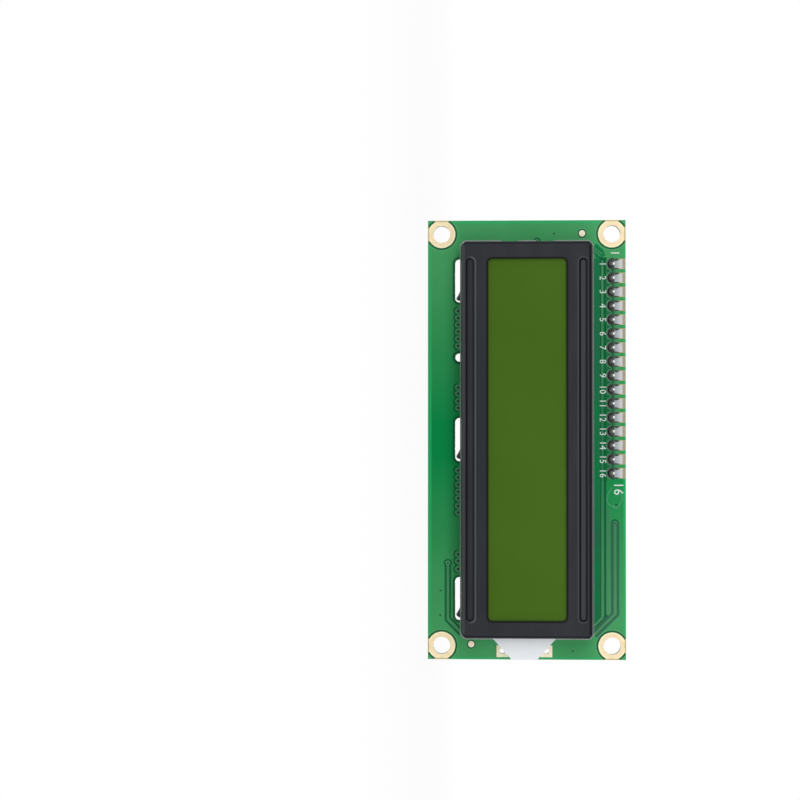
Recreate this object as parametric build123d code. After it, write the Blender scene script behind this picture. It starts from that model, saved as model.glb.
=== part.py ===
from build123d import *
import math
import os

os.makedirs("parts", exist_ok=True)

# The display looks towards -Y, the pin header is on the +Z edge and the lamp on the +X end.
# The origin is the centre of the four corner holes, on the front face of the main board.

# Main board
board_length = 80.0
board_width = 36.0
board_thickness = 1.6
copper = 0.04                  # how far a pad stands above the board
corner_inset = 2.5             # corner hole to both edges
corner_hole = 3.1
corner_ring = 5.0
locating_hole = 1.5
locating_spacing = 15.0        # each side of the middle

# Row of header holes
pin_pitch = 2.54
pin_side = 0.64
pin_count = 16
pin_hole = 1.0
first_pin_inset = 8.0          # first hole to the -X end
header_inset = 2.5             # row to the +Z edge
header_pad_width = 1.9
pin_tip = 0.15                 # bevel on a pin's end
pin_tail = 1.0                 # joining pin's end beyond a board
header_tail = 1.2              # bent pin's end below the adapter

# Solder round a pin
joint_radius = 0.85
joint_height = 0.8
joint_waist = 0.55             # share of the foot's radius
joint_waist_height = 0.4       # share of the height
joint_neck = 0.08              # solder round the pin at the top

# Bezel, one folded sheet
bezel_end = 4.0                # its foot to the board's short edges
bezel_side = 5.95              # the same to the long edges, before its offset
bezel_height = 7.1
bezel_offset = 0.1             # bezel centre above the board centre
sheet = 0.45
draft = 2.8                    # degrees that the side walls lean in
bezel_corner = 0.8
bend_radius = 0.55
window_end = 3.5               # window to the bezel's foot, at both ends
window_side = 5.05             # the same along the long sides
window_offset = 0.05           # window centre above the bezel's centre
window_corner = 0.7
channel_end = 3.35             # pressed channels along both long sides, to the bezel's ends
channel_width = 1.7
channel_depth = 0.3
end_notch_width = 3.2          # two notches in the wall at the -X end
end_notch_spacing = 6.0
notch_height = 4.1             # notches and lamp opening above the board

# Tabs, twisted behind the board
tab_width = 7.2
tab_neck = 6.7                 # narrower where it passes through its slot
tab_end = 7.0                  # outer tabs to the bezel's ends
tab_rise = 2.0                 # tab end above the board's back
tab_twist = -30.0              # degrees about the Y axis of the module
tab_lean = 0.8
tab_straight = 0.2             # straight run behind the board
slot_length = 7.9
slot_width = 1.6
slot_gap = 0.05                # tab to the nearer slot wall
tab_pad_length = 7.1
tab_pad_width = 2.6

# Display stack, from the bezel inwards
film = 0.2
polarizer_margin = 1.5         # polarizer beyond the window, both sides together
pane = 1.1
stack_gap = 0.15               # glass and light guide to the bezel's walls
strip_width = 1.8              # contact strip
strip_inset = 1.85             # contact strip centre to the bezel's outer wall
strip_end = 3.0                # contact strip to the bezel's ends
strip_gap = 0.2                # contact strip to the rear glass and the light guide
finger_end = 1.7               # contact strip beyond the first finger's side
finger_pitch = 1.3
finger_width = 0.6
finger_length = 1.6
guide_end = 1.4                # light guide to the bezel's ends
funnel_root = 13.7             # light guide's funnel where it leaves the guide
funnel_tip = 4.6
funnel_inset = 0.3             # funnel tip to the board's edge
funnel_gap = 0.15              # funnel to the bezel's opening

# Lamp and its pads at the +X end
lamp_offset = -0.42            # lamp centre below the board centre
lamp_width = 3.2
lamp_length = 1.7
lamp_height = 3.0
lamp_gap = 0.05
lamp_lead = 0.5
lamp_lead_pitch = 2.2
lamp_lead_inset = 0.85         # lead to the board's edge
lamp_hole = 0.8
lamp_pad = 2.1
lamp_pad_length = 1.6
edge_strip = 0.25              # front side of the same pad, beyond the light guide
lamp_pad_pitch = 2.7
lamp_tail = 0.7                # lead end above the board's back
lamp_joint = 0.8               # radius of its solder
lamp_joint_height = 0.55
square_pad = 2.13
square_pad_pitch = 8.0
square_pad_inset = 1.5
spare_pad = 1.98
spare_pad_pitch = 2.54
spare_pad_inset = 3.93
round_hole = 1.0

# Black drops of epoxy over the two driver dies
blob_height = 1.4
blob_one = (13.3, 0.5, 5.25)   # x, z, radius
blob_two = (-12.9, -0.5, 6.4)

# Small parts on the back of the main board, from the nearer short edge and the board's middle
small_chip = (1.6, 0.85, 0.5)  # length, width, height
large_chip = (2.0, 1.25, 0.55)
chip_cap = 0.3                 # metal end
chip_foot = 0.45               # solder in front of a metal end
chip_wetting = 0.7             # share of the end's height that the solder climbs
row_resistors_inset = 9.4
row_resistors_z = (-6.5, -4.1, -1.85)
single_resistor = (17.1, -4.05)
lamp_resistor = (19.6, 12.5)
bare_pair = (17.15, -6.25)
bare_pair_pitch = 1.6
bare_pad = 1.05
side_pads_z = (-6.35, -2.8)
side_pads_inset = (8.65, 11.0)
side_pad = (1.6, 1.35)
footprint_z = (-0.24, 1.06, 2.35, 3.61)
footprint_inset = (7.9, 13.55)
footprint_pad = (2.05, 0.77)
jumper_pads_inset = (8.2, 10.7, 13.1)
jumper_pads_z = 5.55
jumper_pad = 1.3
jumper_pad_slit = 0.25
bridge_height = 0.45           # solder over the first pad pair
bridge_shoulder = 0.75         # share of its radius and height where it rounds over
fiducial = 1.15
fiducials_front = ((2.75, 7.9), (2.4, 7.9))    # lamp end low, header end high: to both edges
fiducials_back = ((3.9, 7.7), (2.3, 8.0))

# Adapter board, held behind the main board by the joining pins
adapter_length = 41.4
adapter_width = 18.6
adapter_thickness = 1.2
adapter_overhang = 1.25        # edge beyond the header row
strip_height = 2.54            # moulded height of a pin strip
strip_notch = 0.35             # notch between two cells of a strip

# Expander chip, from the centre of the header row
chip_offset = -7.9             # below the header row
chip_length = 10.3
chip_width = 7.5
chip_height = 2.35
chip_standoff = 0.15
chip_draft = 6.0
lead_count = 8                 # on each side
lead_pitch = 1.27
lead_width = 0.42
lead_sheet = 0.25
lead_shoulder = 0.4
lead_span = 10.6
lead_foot = 0.75
lead_bend = 0.2
lead_pad_width = 0.62
chip_mark = 0.9                # round dimple beside the first lead
chip_mark_inset = 1.2
chip_mark_depth = 0.1

# Trimmer, from the adapter's -X edge and the header row
trimmer_inset = 9.55
trimmer_drop = 6.8
trimmer_side = 6.9
trimmer_height = 4.9
trimmer_feet = 0.3
trimmer_foot = 1.0
trimmer_foot_inset = 0.2
trimmer_corner = 0.3
trimmer_wall = 0.45
trimmer_base = 0.8
rotor_head = 2.86
rotor_flange = 4.2
rotor_flange_height = 1.0
rotor_gap = 0.05
rotor_below_face = 0.1
rotor_slot = 0.58
rotor_slot_depth = 0.9
dial_ring = 3.5
dial_depth = 0.15
dial_ticks = 11
dial_step = 27.2
tick_width = 0.26
tick_reach = 2.3
long_tick_reach = 2.75
trimmer_lead_pitch = 2.54
trimmer_lead = 0.5
trimmer_hole = 0.8

# Bus header and jumper header, bent outwards above their strips
bus_count = 4
bus_inset = 1.45               # pin to the adapter's -X edge
bus_first_drop = 11.95         # lowest pin below the header row
bus_reach = 8.05               # pin end beyond the pin's hole
jumper_count = 2
jumper_inset = 1.3             # pin to the adapter's +X edge
jumper_first_drop = 8.4
jumper_reach = 6.1
bend_height = 0.85             # bent pin's centre above its strip
pin_bend = 0.7

# Jumper cap on the two jumper pins
cap_length = 5.7
cap_width = 4.9
cap_thickness = 2.5
cap_stand = 1.65               # cap's mouth to the pins' holes
cap_corner = 0.25
cap_step = 0.15                # its far end is thinner
cap_step_length = 1.3
cap_wall = 0.4
clip_sheet = 0.2
clip_gap = 0.02                # clip to a pin, each side
clip_width = 4.0
clip_length = 4.7
clip_inset = 0.2               # clip's mouth inside the cap's mouth
clip_bend = 0.25
cap_window = 1.65
cap_window_length = 2.0

# Small parts on the adapter: steps from the jumper pins, drops below the header row
column_steps = (5.8, 8.35, 10.85)
column_drop = 10.75
pair_drop = 5.85
pair_resistor_step = 7.75
capacitor_step = 10.35
power_led_step = 3.25
power_led_drop = 11.0
low_steps = (9.55, 5.15, 0.65)  # three resistors, from the expander chip's middle
low_drop = 15.35
led_height = 0.8
transistor_step = 4.2
transistor_drop = 5.95
transistor_body = (2.9, 1.35, 1.0)
transistor_span = 2.5
transistor_pitch = 1.9
transistor_sheet = 0.15
transistor_stand = 0.05
transistor_shoulder = 0.16
transistor_foot = 0.35
transistor_bend = 0.12
transistor_pad = (0.8, 0.9)
link_steps = (2.0, -0.5, -2.9)  # from the trimmer's middle
link_drop = 14.4
link_pad = 0.9
link_pad_length = 1.35
link_pad_pitch = 1.2

beyond = 1.0                   # how far a cut runs past what it cuts

# Worked out from the sizes above
board_back = board_thickness
header_z = board_width / 2 - header_inset
first_pin_x = -board_length / 2 + first_pin_inset
header_x = [first_pin_x + i * pin_pitch for i in range(pin_count)]
header_middle = first_pin_x + pin_pitch * (pin_count - 1) / 2
corner_x = board_length / 2 - corner_inset
corner_z = board_width / 2 - corner_inset
bezel_length = board_length - 2 * bezel_end
bezel_width = board_width - 2 * bezel_side
window_length = bezel_length - 2 * window_end
window_width = bezel_width - 2 * window_side
window_middle = bezel_offset + window_offset
channel_length = bezel_length - 2 * channel_end
tab_spacing = bezel_length / 2 - tab_end
strip_length = bezel_length - 2 * strip_end
finger_count = math.floor((strip_length - 2 * finger_end) / finger_pitch)
guide_length = bezel_length - 2 * guide_end
wall_middle = bezel_width / 2 - sheet / 2
slot_shift = slot_width / 2 - sheet / 2 - slot_gap
glass_front = -bezel_height + sheet + channel_depth
glass_middle = glass_front + pane
glass_back = glass_middle + pane
diffuser_front = glass_back + film
guide_front = diffuser_front + film
guide_back = -copper - film
strip_z = bezel_width / 2 - strip_inset
inner_width = 2 * (strip_z - strip_width / 2 - strip_gap)
lean_in = math.tan(math.radians(draft))
pane_length = bezel_length - 2 * (sheet + stack_gap - lean_in * glass_front)
pane_width = bezel_width - 2 * (sheet + stack_gap - lean_in * glass_front)
funnel_x = board_length / 2 - funnel_inset
funnel_slope = (funnel_root - funnel_tip) / 2 / (funnel_x - guide_length / 2)
lamp_x = funnel_x - lamp_length / 2
lamp_lead_x = board_length / 2 - lamp_lead_inset
strip_front = board_back + copper
adapter_front = strip_front + strip_height
adapter_back = adapter_front + adapter_thickness
adapter_pads_back = adapter_back + copper
adapter_top = header_z + adapter_overhang
adapter_left = header_middle - adapter_length / 2
adapter_right = header_middle + adapter_length / 2
bent_axis = adapter_back + strip_height + bend_height
jumper_x = adapter_right - jumper_inset
bus_x = adapter_left + bus_inset
cap_x = jumper_x + cap_stand
trimmer_x = adapter_left + trimmer_inset
trimmer_z = header_z - trimmer_drop
chip_x = header_middle
chip_z = header_z + chip_offset
transistor_x = jumper_x - transistor_step


# Shapes that repeat

def facing(y):
    """A drawing plane seen from the front: right is +X, up is +Z."""
    return Plane(origin=(0, y, 0), x_dir=(1, 0, 0), z_dir=(0, -1, 0))


def plate(outline, y_front, y_back):
    """A flat drawing made solid between two depths."""
    return extrude(facing(y_back) * outline, amount=y_back - y_front)


def block(x, z, length, width, y_front, y_back):
    return Pos(x, (y_front + y_back) / 2, z) * Box(length, y_back - y_front, width)


def dot(x, z, diameter):
    return Pos(x, z) * Circle(diameter / 2)


def patch(x, z, length, width):
    return Pos(x, z) * Rectangle(length, width)


def turned(x, z, points):
    """A solid turned about a line along Y, from (radius, depth) points."""
    return Pos(x, 0, z) * revolve(make_face(Polyline(*points, close=True)), axis=Axis.Y)


def ring_face(x, z, outer, inner):
    return dot(x, z, outer) - dot(x, z, inner)


def save(name, pieces):
    solids = [solid for piece in pieces for solid in piece.solids()]
    export_step(Compound(solids), f"parts/{name}.step")


def solder_cone(x, z, y_board, out, radius, height, lead):
    """Solder that rises round a square lead; out is +1 towards the back."""
    foot = (radius, y_board)
    waist = (radius * joint_waist, y_board + out * height * joint_waist_height)
    neck = (lead / math.sqrt(2) + joint_neck, y_board + out * height)
    cone = turned(x, z, [(0, y_board), foot, waist, neck, (0, y_board + out * height)])
    low, high = sorted((y_board, y_board + out * height))
    return cone - block(x, z, lead, lead, low - beyond, high + beyond)


def straight_pin(x, z, y_front, y_back):
    pin = block(x, z, pin_side, pin_side, y_front, y_back)
    tips = pin.faces().sort_by(Axis.Y)
    return chamfer(tips[0].edges() + tips[-1].edges(), pin_tip)


def bent_pin(x, z, out, reach):
    """A pin that rises through the adapter and bends over; out is +1 or -1 along X."""
    low = (x, adapter_front - header_tail)
    corner = (x, bent_axis)
    end = (x + out * reach, bent_axis)
    path = FilletPolyline(low, corner, end, radius=pin_bend)
    section = Plane(origin=path @ 0, x_dir=(0, 0, 1), z_dir=path % 0) * Rectangle(pin_side, pin_side)
    pin = sweep(section, path=path)
    tips = pin.faces().sort_by(Axis.X)
    tip = tips[-1] if out > 0 else tips[0]
    return Pos(0, 0, z) * chamfer(tip.edges(), pin_tip)


def cell_strip(count, along_x, x, z, y_front, y_back, pins):
    """A moulded pin strip with a notch between its cells, cut to fit its pins."""
    cell = chamfer(Rectangle(pin_pitch, pin_pitch).vertices(), strip_notch)
    outline = Sketch()
    for i in range(count):
        step = i * pin_pitch
        outline += (Pos(x + step, z) if along_x else Pos(x, z + step)) * cell
    return plate(outline, y_front, y_back) - pins


def chip_part(x, z, y_seat, size, along_x):
    """A two-ended chip: its middle, and its two metal ends with their solder."""
    length, width, height = size
    turn = Pos(x, y_seat, z) * (Rot(0, 0, 0) if along_x else Rot(0, 90, 0))
    middle = turn * Pos(0, height / 2, 0) * Box(length - 2 * chip_cap, height, width)
    ends = []
    for side in (-1, 1):
        face = length / 2
        wedge = [(face, 0), (face + chip_foot, 0), (face, height * chip_wetting)]
        solder = extrude(make_face(Polyline(*wedge, close=True)), amount=width / 2, both=True)
        end = Pos(face - chip_cap / 2, height / 2, 0) * Box(chip_cap, height, width) + solder
        ends.append(turn * (end if side > 0 else mirror(end, about=Plane.YZ)))
    return middle, ends


def chip_pads(x, z, size, along_x):
    """Drawing of the two pads under a chip."""
    length, width, height = size
    inner = length / 2 - chip_cap
    outer = length / 2 + chip_foot
    pads = []
    for side in (-1, 1):
        middle = side * (inner + outer) / 2
        if along_x:
            pads.append(patch(x + middle, z, outer - inner, width))
        else:
            pads.append(patch(x, z + middle, width, outer - inner))
    return pads


def gull_lead(body_half, span_half, rise, foot, width, thickness, shoulder, bend):
    """One folded lead in the XY plane, from a body's side at height rise down to its foot."""
    seat = thickness / 2
    points = [
        (body_half, rise),
        (body_half + shoulder, rise),
        (span_half - foot, seat),
        (span_half, seat),
    ]
    path = FilletPolyline(*points, radius=bend)
    section = Plane(origin=path @ 0, x_dir=(0, 0, 1), z_dir=path % 0) * Rectangle(width, thickness)
    return sweep(section, path=path)


def moulded_body(length, height, width, slope):
    """A moulded package on the origin, drafted both ways from the line round its middle."""
    middle = Rectangle(length, width)
    back = Plane(origin=(0, height / 2, 0), x_dir=(1, 0, 0), z_dir=(0, 1, 0)) * middle
    front = facing(height / 2) * middle
    return extrude(back, amount=height / 2, taper=slope) + extrude(front, amount=height / 2, taper=slope)


# Main board and the copper on it

def tab_places():
    """Every tab as x, side and the centre of its slot."""
    places = []
    for side in (-1, 1):
        for i in (-1, 0, 1):
            slot_z = bezel_offset + side * wall_middle - slot_shift
            places.append((i * tab_spacing, side, slot_z))
    return places


corner_places = [(sx * corner_x, sz * corner_z) for sx in (-1, 1) for sz in (-1, 1)]
square_x = board_length / 2 - square_pad_inset
square_places = [(square_x, lamp_offset + s * square_pad_pitch / 2) for s in (-1, 1)]
spare_x = board_length / 2 - spare_pad_inset
spare_places = [(spare_x, lamp_offset + s * spare_pad_pitch / 2) for s in (-1, 1)]
lead_places = [(lamp_lead_x, lamp_offset + s * lamp_lead_pitch / 2) for s in (-1, 1)]
locating_places = [
    (locating_spacing, bezel_offset + wall_middle - slot_shift),
    (-locating_spacing, bezel_offset - wall_middle - slot_shift),
]

holes = [dot(x, z, corner_hole) for x, z in corner_places]
holes += [dot(x, header_z, pin_hole) for x in header_x]
holes += [Pos(x, z) * SlotOverall(slot_length, slot_width) for x, side, z in tab_places()]
holes += [dot(x, z, locating_hole) for x, z in locating_places]
holes += [dot(x, z, round_hole) for x, z in square_places + spare_places]
holes += [dot(x, z, lamp_hole) for x, z in lead_places]
main_board = plate(Rectangle(board_length, board_width) - holes, 0, board_thickness)
save("main_board", [main_board])


def on_back(outlines):
    return [plate(outline, board_back, board_back + copper) for outline in outlines]


def on_front(outlines):
    return [plate(outline, -copper, 0) for outline in outlines]


board_outline = Rectangle(board_length, board_width)
rings = [ring_face(x, z, corner_ring, corner_hole) & board_outline for x, z in corner_places]
save("mount_rings", on_front(rings) + on_back(rings))

header_pads = []
for x in header_x:
    reach = board_width / 2 - header_z
    pad = dot(x, header_z, header_pad_width) + patch(x, header_z + reach / 2, header_pad_width, reach)
    header_pads.append(pad - dot(x, header_z, pin_hole))
save("header_pads", on_front(header_pads) + on_back(header_pads))

tab_pads = []
for x, side, slot_z in tab_places():
    edge = slot_z - side * slot_width / 2
    tab_pads.append(patch(x, edge - side * tab_pad_width / 2, tab_pad_length, tab_pad_width))
save("tab_pads", on_back(tab_pads))

square_pads = [patch(x, z, square_pad, square_pad) - dot(x, z, round_hole) for x, z in square_places]
spare_pads = [ring_face(x, z, spare_pad, round_hole) for x, z in spare_places]
edge_pads = []
edge_strips = []
for side, (x, z) in zip((-1, 1), lead_places):
    middle = lamp_offset + side * lamp_pad_pitch / 2
    pad = patch(board_length / 2 - lamp_pad_length / 2, middle, lamp_pad_length, lamp_pad)
    edge_pads.append(pad - dot(x, z, lamp_hole))
    edge_strips.append(patch(board_length / 2 - edge_strip / 2, middle, edge_strip, lamp_pad))
save("lamp_pads", on_front(square_pads + edge_strips) + on_back(square_pads + edge_pads + spare_pads))



def mark_dots(insets):
    """Two round marks, low at the lamp end and high at the header end."""
    (x_one, z_one), (x_two, z_two) = insets
    low = dot(board_length / 2 - x_one, z_one - board_width / 2, fiducial)
    high = dot(x_two - board_length / 2, board_width / 2 - z_two, fiducial)
    return [low, high]


save("alignment_marks", on_front(mark_dots(fiducials_front)) + on_back(mark_dots(fiducials_back)))

part_pads = []
header_end = -board_length / 2
lamp_end = board_length / 2
board_chips = [(header_end + row_resistors_inset, z, small_chip) for z in row_resistors_z]
board_chips.append((header_end + single_resistor[0], single_resistor[1], small_chip))
board_chips.append((lamp_end - lamp_resistor[0], lamp_resistor[1], large_chip))
for x, z, size in board_chips:
    part_pads += chip_pads(x, z, size, True)
for side in (-1, 1):
    x = header_end + bare_pair[0] + side * bare_pair_pitch / 2
    part_pads.append(patch(x, bare_pair[1], bare_pad, bare_pad))
for inset in side_pads_inset:
    part_pads += [patch(lamp_end - inset, z, *side_pad) for z in side_pads_z]
for inset in footprint_inset:
    part_pads += [patch(lamp_end - inset, z, *footprint_pad) for z in footprint_z]
for inset in jumper_pads_inset:
    x = lamp_end - inset
    disc = dot(x, jumper_pads_z, jumper_pad) - patch(x, jumper_pads_z, jumper_pad_slit, jumper_pad)
    part_pads += disc.faces()
save("part_pads", on_back(part_pads))

fingers = []
for side in (-1, 1):
    for i in range(finger_count):
        x = (i - (finger_count - 1) / 2) * finger_pitch
        fingers.append(block(x, bezel_offset + side * strip_z, finger_width, finger_length, -copper, 0))
save("contact_fingers", fingers)


# Bezel: a drawn cover with pressed channels, a window and six twisted tabs

def bezel_form(inset):
    corner = bezel_corner - inset * (2 - math.sqrt(2))
    outline = Rectangle(bezel_length - 2 * inset, bezel_width - 2 * inset)
    outline = chamfer(outline.vertices(), corner)
    form = extrude(facing(0) * Pos(0, bezel_offset) * outline, amount=bezel_height - inset, taper=draft)
    rim = form.edges().group_by(Axis.Y)[0]
    return fillet(rim, bend_radius - inset)


def channel(side, y_start, depth, length, width):
    """A trough with sloping sides, from the face at y_start inwards."""
    plane = Plane(origin=(0, y_start, 0), x_dir=(1, 0, 0), z_dir=(0, 1, 0))
    outline = Pos(0, -bezel_offset - side * strip_z) * SlotOverall(length, width)
    return extrude(plane * outline, amount=depth, taper=45)


def twisted_tab(x, side):
    z = bezel_offset + side * wall_middle
    start = board_back + tab_straight
    neck = block(x, z, tab_neck, sheet, -tab_straight, start)
    steps = 4
    sections = []
    for i in range(steps + 1):
        part = i / steps
        place = Pos(x, z - side * tab_lean * part ** 2) * Rot(0, 0, tab_twist * part)
        level = start + (tab_rise - tab_straight) * part
        sections.append(facing(level) * place * Rectangle(tab_width, sheet))
    return neck + loft(sections)


bezel = bezel_form(0) - bezel_form(sheet)
face = -bezel_height
window = fillet(Rectangle(window_length, window_width).vertices(), window_corner)
bezel -= plate(Pos(0, window_middle) * window, face - beyond, face + sheet + beyond)
for side in (-1, 1):
    inside = channel_width - sheet / 2
    bezel += channel(side, face + sheet, channel_depth, channel_length - sheet, inside)
    bezel -= channel(side, face, channel_depth, channel_length, channel_width)
wall_x = bezel_length / 2 - sheet / 2
lean = lean_in * notch_height
opening_half = funnel_tip / 2 + funnel_slope * (funnel_x - bezel_length / 2 + sheet + lean) + funnel_gap
cut = 4 * (sheet + lean)
bezel -= block(wall_x, lamp_offset, cut, 2 * opening_half, -notch_height, beyond)
for side in (-1, 1):
    notch_z = bezel_offset + side * end_notch_spacing / 2
    bezel -= block(-wall_x, notch_z, cut, end_notch_width, -notch_height, beyond)
for x, side, slot_z in tab_places():
    bezel += twisted_tab(x, side)
save("bezel", [bezel])


# Display stack behind the window

def stack_plate(length, width, y_front, y_back):
    return block(0, bezel_offset, length, width, y_front, y_back)


polarizer_size = (window_length + polarizer_margin, window_width + polarizer_margin)
save("front_polarizer", [stack_plate(*polarizer_size, glass_front - film, glass_front)])
save("front_glass", [stack_plate(pane_length, pane_width, glass_front, glass_middle)])
save("rear_glass", [stack_plate(pane_length, inner_width, glass_middle, glass_back)])
save("rear_polarizer", [stack_plate(*polarizer_size, glass_back, glass_back + film)])

contact_back = -copper
for name, side in (("contact_strip_upper", 1), ("contact_strip_lower", -1)):
    middle = bezel_offset + side * strip_z
    save(name, [block(0, middle, strip_length, strip_width, glass_middle, contact_back)])


def guide_outline():
    """Light guide seen from the front, with its funnel out to the lamp."""
    half = guide_length / 2
    low = bezel_offset - inner_width / 2
    high = bezel_offset + inner_width / 2
    points = [
        (-half, low), (half, low),
        (half, lamp_offset - funnel_root / 2), (funnel_x, lamp_offset - funnel_tip / 2),
        (funnel_x, lamp_offset + funnel_tip / 2), (half, lamp_offset + funnel_root / 2),
        (half, high), (-half, high),
    ]
    return make_face(Polyline(*points, close=True))


pocket_length = lamp_length + lamp_gap
pocket = patch(funnel_x - pocket_length / 2, lamp_offset, pocket_length, lamp_width + 2 * lamp_gap)
lamp_back = guide_back
lamp_front = lamp_back - lamp_height
guide = plate(guide_outline(), guide_front, guide_back)
guide -= plate(pocket, lamp_front - lamp_gap, guide_back + beyond)
save("light_guide", [guide])
save("diffuser_film", [plate(guide_outline(), diffuser_front, guide_front)])
save("reflector_film", [plate(guide_outline() - pocket, guide_back, -copper)])


# Lamp, its two leads and their solder

lamp = block(lamp_x, lamp_offset, lamp_length, lamp_width, lamp_front, lamp_back)
lens_edges = lamp.faces().sort_by(Axis.X)[0].edges().filter_by(Axis.Y)
save("backlight_lamp", [fillet(lens_edges, lamp_length / 3)])
lamp_leads = [block(x, z, lamp_lead, lamp_lead, lamp_back, board_back + lamp_tail) for x, z in lead_places]
save("lamp_leads", lamp_leads)
lamp_solder = []
for x, z in lead_places:
    lamp_solder.append(solder_cone(x, z, board_back + copper, 1, lamp_joint, lamp_joint_height, lamp_lead))
save("lamp_solder", lamp_solder)


# Epoxy drops, chips and the bridged pad pair on the back

def epoxy_drop(x, z, radius):
    """A low dome, cut from a sphere."""
    sphere = (radius ** 2 + blob_height ** 2) / (2 * blob_height)
    centre = board_back + blob_height - sphere
    half = math.asin(radius / sphere) / 2
    foot = (radius, board_back)
    top = (0, board_back + blob_height)
    dome = ThreePointArc(foot, (sphere * math.sin(half), centre + sphere * math.cos(half)), top)
    outline = Polyline(top, (0, board_back), foot) + dome
    return Pos(x, 0, z) * revolve(make_face(outline), axis=Axis.Y)


save("driver_drop_right", [epoxy_drop(*blob_one)])
save("driver_drop_left", [epoxy_drop(*blob_two)])

middles = []
ends = []
for x, z, size in board_chips:
    middle, pair = chip_part(x, z, board_back + copper, size, True)
    middles.append(middle)
    ends += pair
save("board_resistors", middles)
save("board_resistor_ends", ends)

bridge_x = lamp_end - jumper_pads_inset[0]
bridge_foot = board_back + copper
bridge = [
    (0, bridge_foot), (jumper_pad / 2, bridge_foot),
    (jumper_pad * bridge_shoulder / 2, bridge_foot + bridge_height * bridge_shoulder),
    (0, bridge_foot + bridge_height),
]
save("solder_bridge", [turned(bridge_x, jumper_pads_z, bridge)])


# Joining strip, its pins and their solder on both boards

pin_front = -pin_tail
pin_back = adapter_back + pin_tail
joining_pins = [straight_pin(x, header_z, pin_front, pin_back) for x in header_x]
save("joining_pins", joining_pins)
joining_strip = cell_strip(pin_count, True, first_pin_x, header_z, strip_front, adapter_front, joining_pins)
save("joining_strip", [joining_strip])
header_places = [(x, header_z) for x in header_x]


def pin_joints(places, y_board, out):
    return [solder_cone(x, z, y_board, out, joint_radius, joint_height, pin_side) for x, z in places]


save("joining_solder_front", pin_joints(header_places, -copper, -1))
save("joining_solder_back", pin_joints(header_places, adapter_pads_back, 1))


# Adapter board and its copper

bus_z = [header_z - bus_first_drop + i * pin_pitch for i in range(bus_count)]
jumper_z = [header_z - jumper_first_drop + i * pin_pitch for i in range(jumper_count)]
trimmer_leads = [
    (trimmer_x, trimmer_z - trimmer_lead_pitch),
    (trimmer_x + trimmer_lead_pitch, trimmer_z),
    (trimmer_x, trimmer_z + trimmer_lead_pitch),
]
adapter_outline = patch(header_middle, adapter_top - adapter_width / 2, adapter_length, adapter_width)
adapter_holes = [dot(x, header_z, pin_hole) for x in header_x]
adapter_holes += [dot(bus_x, z, pin_hole) for z in bus_z]
adapter_holes += [dot(jumper_x, z, pin_hole) for z in jumper_z]
adapter_holes += [dot(x, z, trimmer_hole) for x, z in trimmer_leads]
save("adapter_board", [plate(adapter_outline - adapter_holes, adapter_front, adapter_back)])

lead_rows = [(i - (lead_count - 1) / 2) * lead_pitch for i in range(lead_count)]
adapter_chips = [(jumper_x - step, header_z - column_drop, large_chip, False) for step in column_steps]
adapter_chips.append((jumper_x - pair_resistor_step, header_z - pair_drop, large_chip, False))
adapter_chips += [(chip_x + step, header_z - low_drop, large_chip, True) for step in low_steps]
capacitor = (jumper_x - capacitor_step, header_z - pair_drop, large_chip, False)
led_size = (large_chip[0], large_chip[1], led_height)
power_led = (jumper_x - power_led_step, header_z - power_led_drop, led_size, False)

adapter_pads = [ring_face(x, header_z, 2 * joint_radius, pin_hole) for x in header_x]
for x, z, size, along_x in adapter_chips + [capacitor, power_led]:
    adapter_pads += chip_pads(x, z, size, along_x)
pad_length = lead_foot + 2 * lead_bend + chip_foot
for side in (-1, 1):
    pad_middle = chip_x + side * (lead_span / 2 - lead_foot / 2 + chip_foot / 2)
    adapter_pads += [patch(pad_middle, chip_z + z, pad_length, lead_pad_width) for z in lead_rows]
for step in link_steps:
    for side in (-1, 1):
        place = header_z - link_drop + side * link_pad_pitch / 2
        adapter_pads.append(patch(trimmer_x + step, place, link_pad_length, link_pad))
transistor_z = header_z - transistor_drop
transistor_feet = [(-1, -transistor_pitch / 2), (-1, transistor_pitch / 2), (1, 0)]
for side, along in transistor_feet:
    reach = transistor_z + side * transistor_span / 2
    adapter_pads.append(patch(transistor_x + along, reach, *transistor_pad))
save("adapter_pads", [plate(pad, adapter_back, adapter_pads_back) for pad in adapter_pads])


# Expander chip with folded leads on both long sides

chip_seat = adapter_pads_back
chip_body = Pos(chip_x, chip_seat + chip_standoff, chip_z) * moulded_body(
    chip_width, chip_height, chip_length, chip_draft)
mark_x = chip_x - chip_width / 2 + chip_mark_inset
mark_z = chip_z + chip_length / 2 - chip_mark_inset
chip_top = chip_seat + chip_standoff + chip_height
chip_body -= plate(dot(mark_x, mark_z, chip_mark), chip_top - chip_mark_depth, chip_top + beyond)
save("expander_chip", [chip_body])

rise = chip_standoff + chip_height / 2
lead = gull_lead(
    chip_width / 2, lead_span / 2, rise, lead_foot, lead_width, lead_sheet, lead_shoulder, lead_bend)
leads = []
for z in lead_rows:
    leads.append(Pos(chip_x, chip_seat, chip_z + z) * lead)
    leads.append(Pos(chip_x, chip_seat, chip_z + z) * mirror(lead, about=Plane.YZ))
save("expander_leads", leads)


# Trimmer: housing, base with three leads, and the rotor that a screwdriver turns

foot_y = adapter_back
body_y = foot_y + trimmer_feet
base_back = body_y + trimmer_base
flange_front = base_back + rotor_gap
flange_back = flange_front + rotor_flange_height
chamber_back = flange_back + rotor_gap
trimmer_top = foot_y + trimmer_height
rotor_top = trimmer_top - rotor_below_face
bore = rotor_head + 2 * rotor_gap
chamber = rotor_flange + 2 * rotor_gap
pocket_side = trimmer_side - 2 * trimmer_wall
foot_spread = trimmer_side / 2 - trimmer_foot / 2 - trimmer_foot_inset

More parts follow.
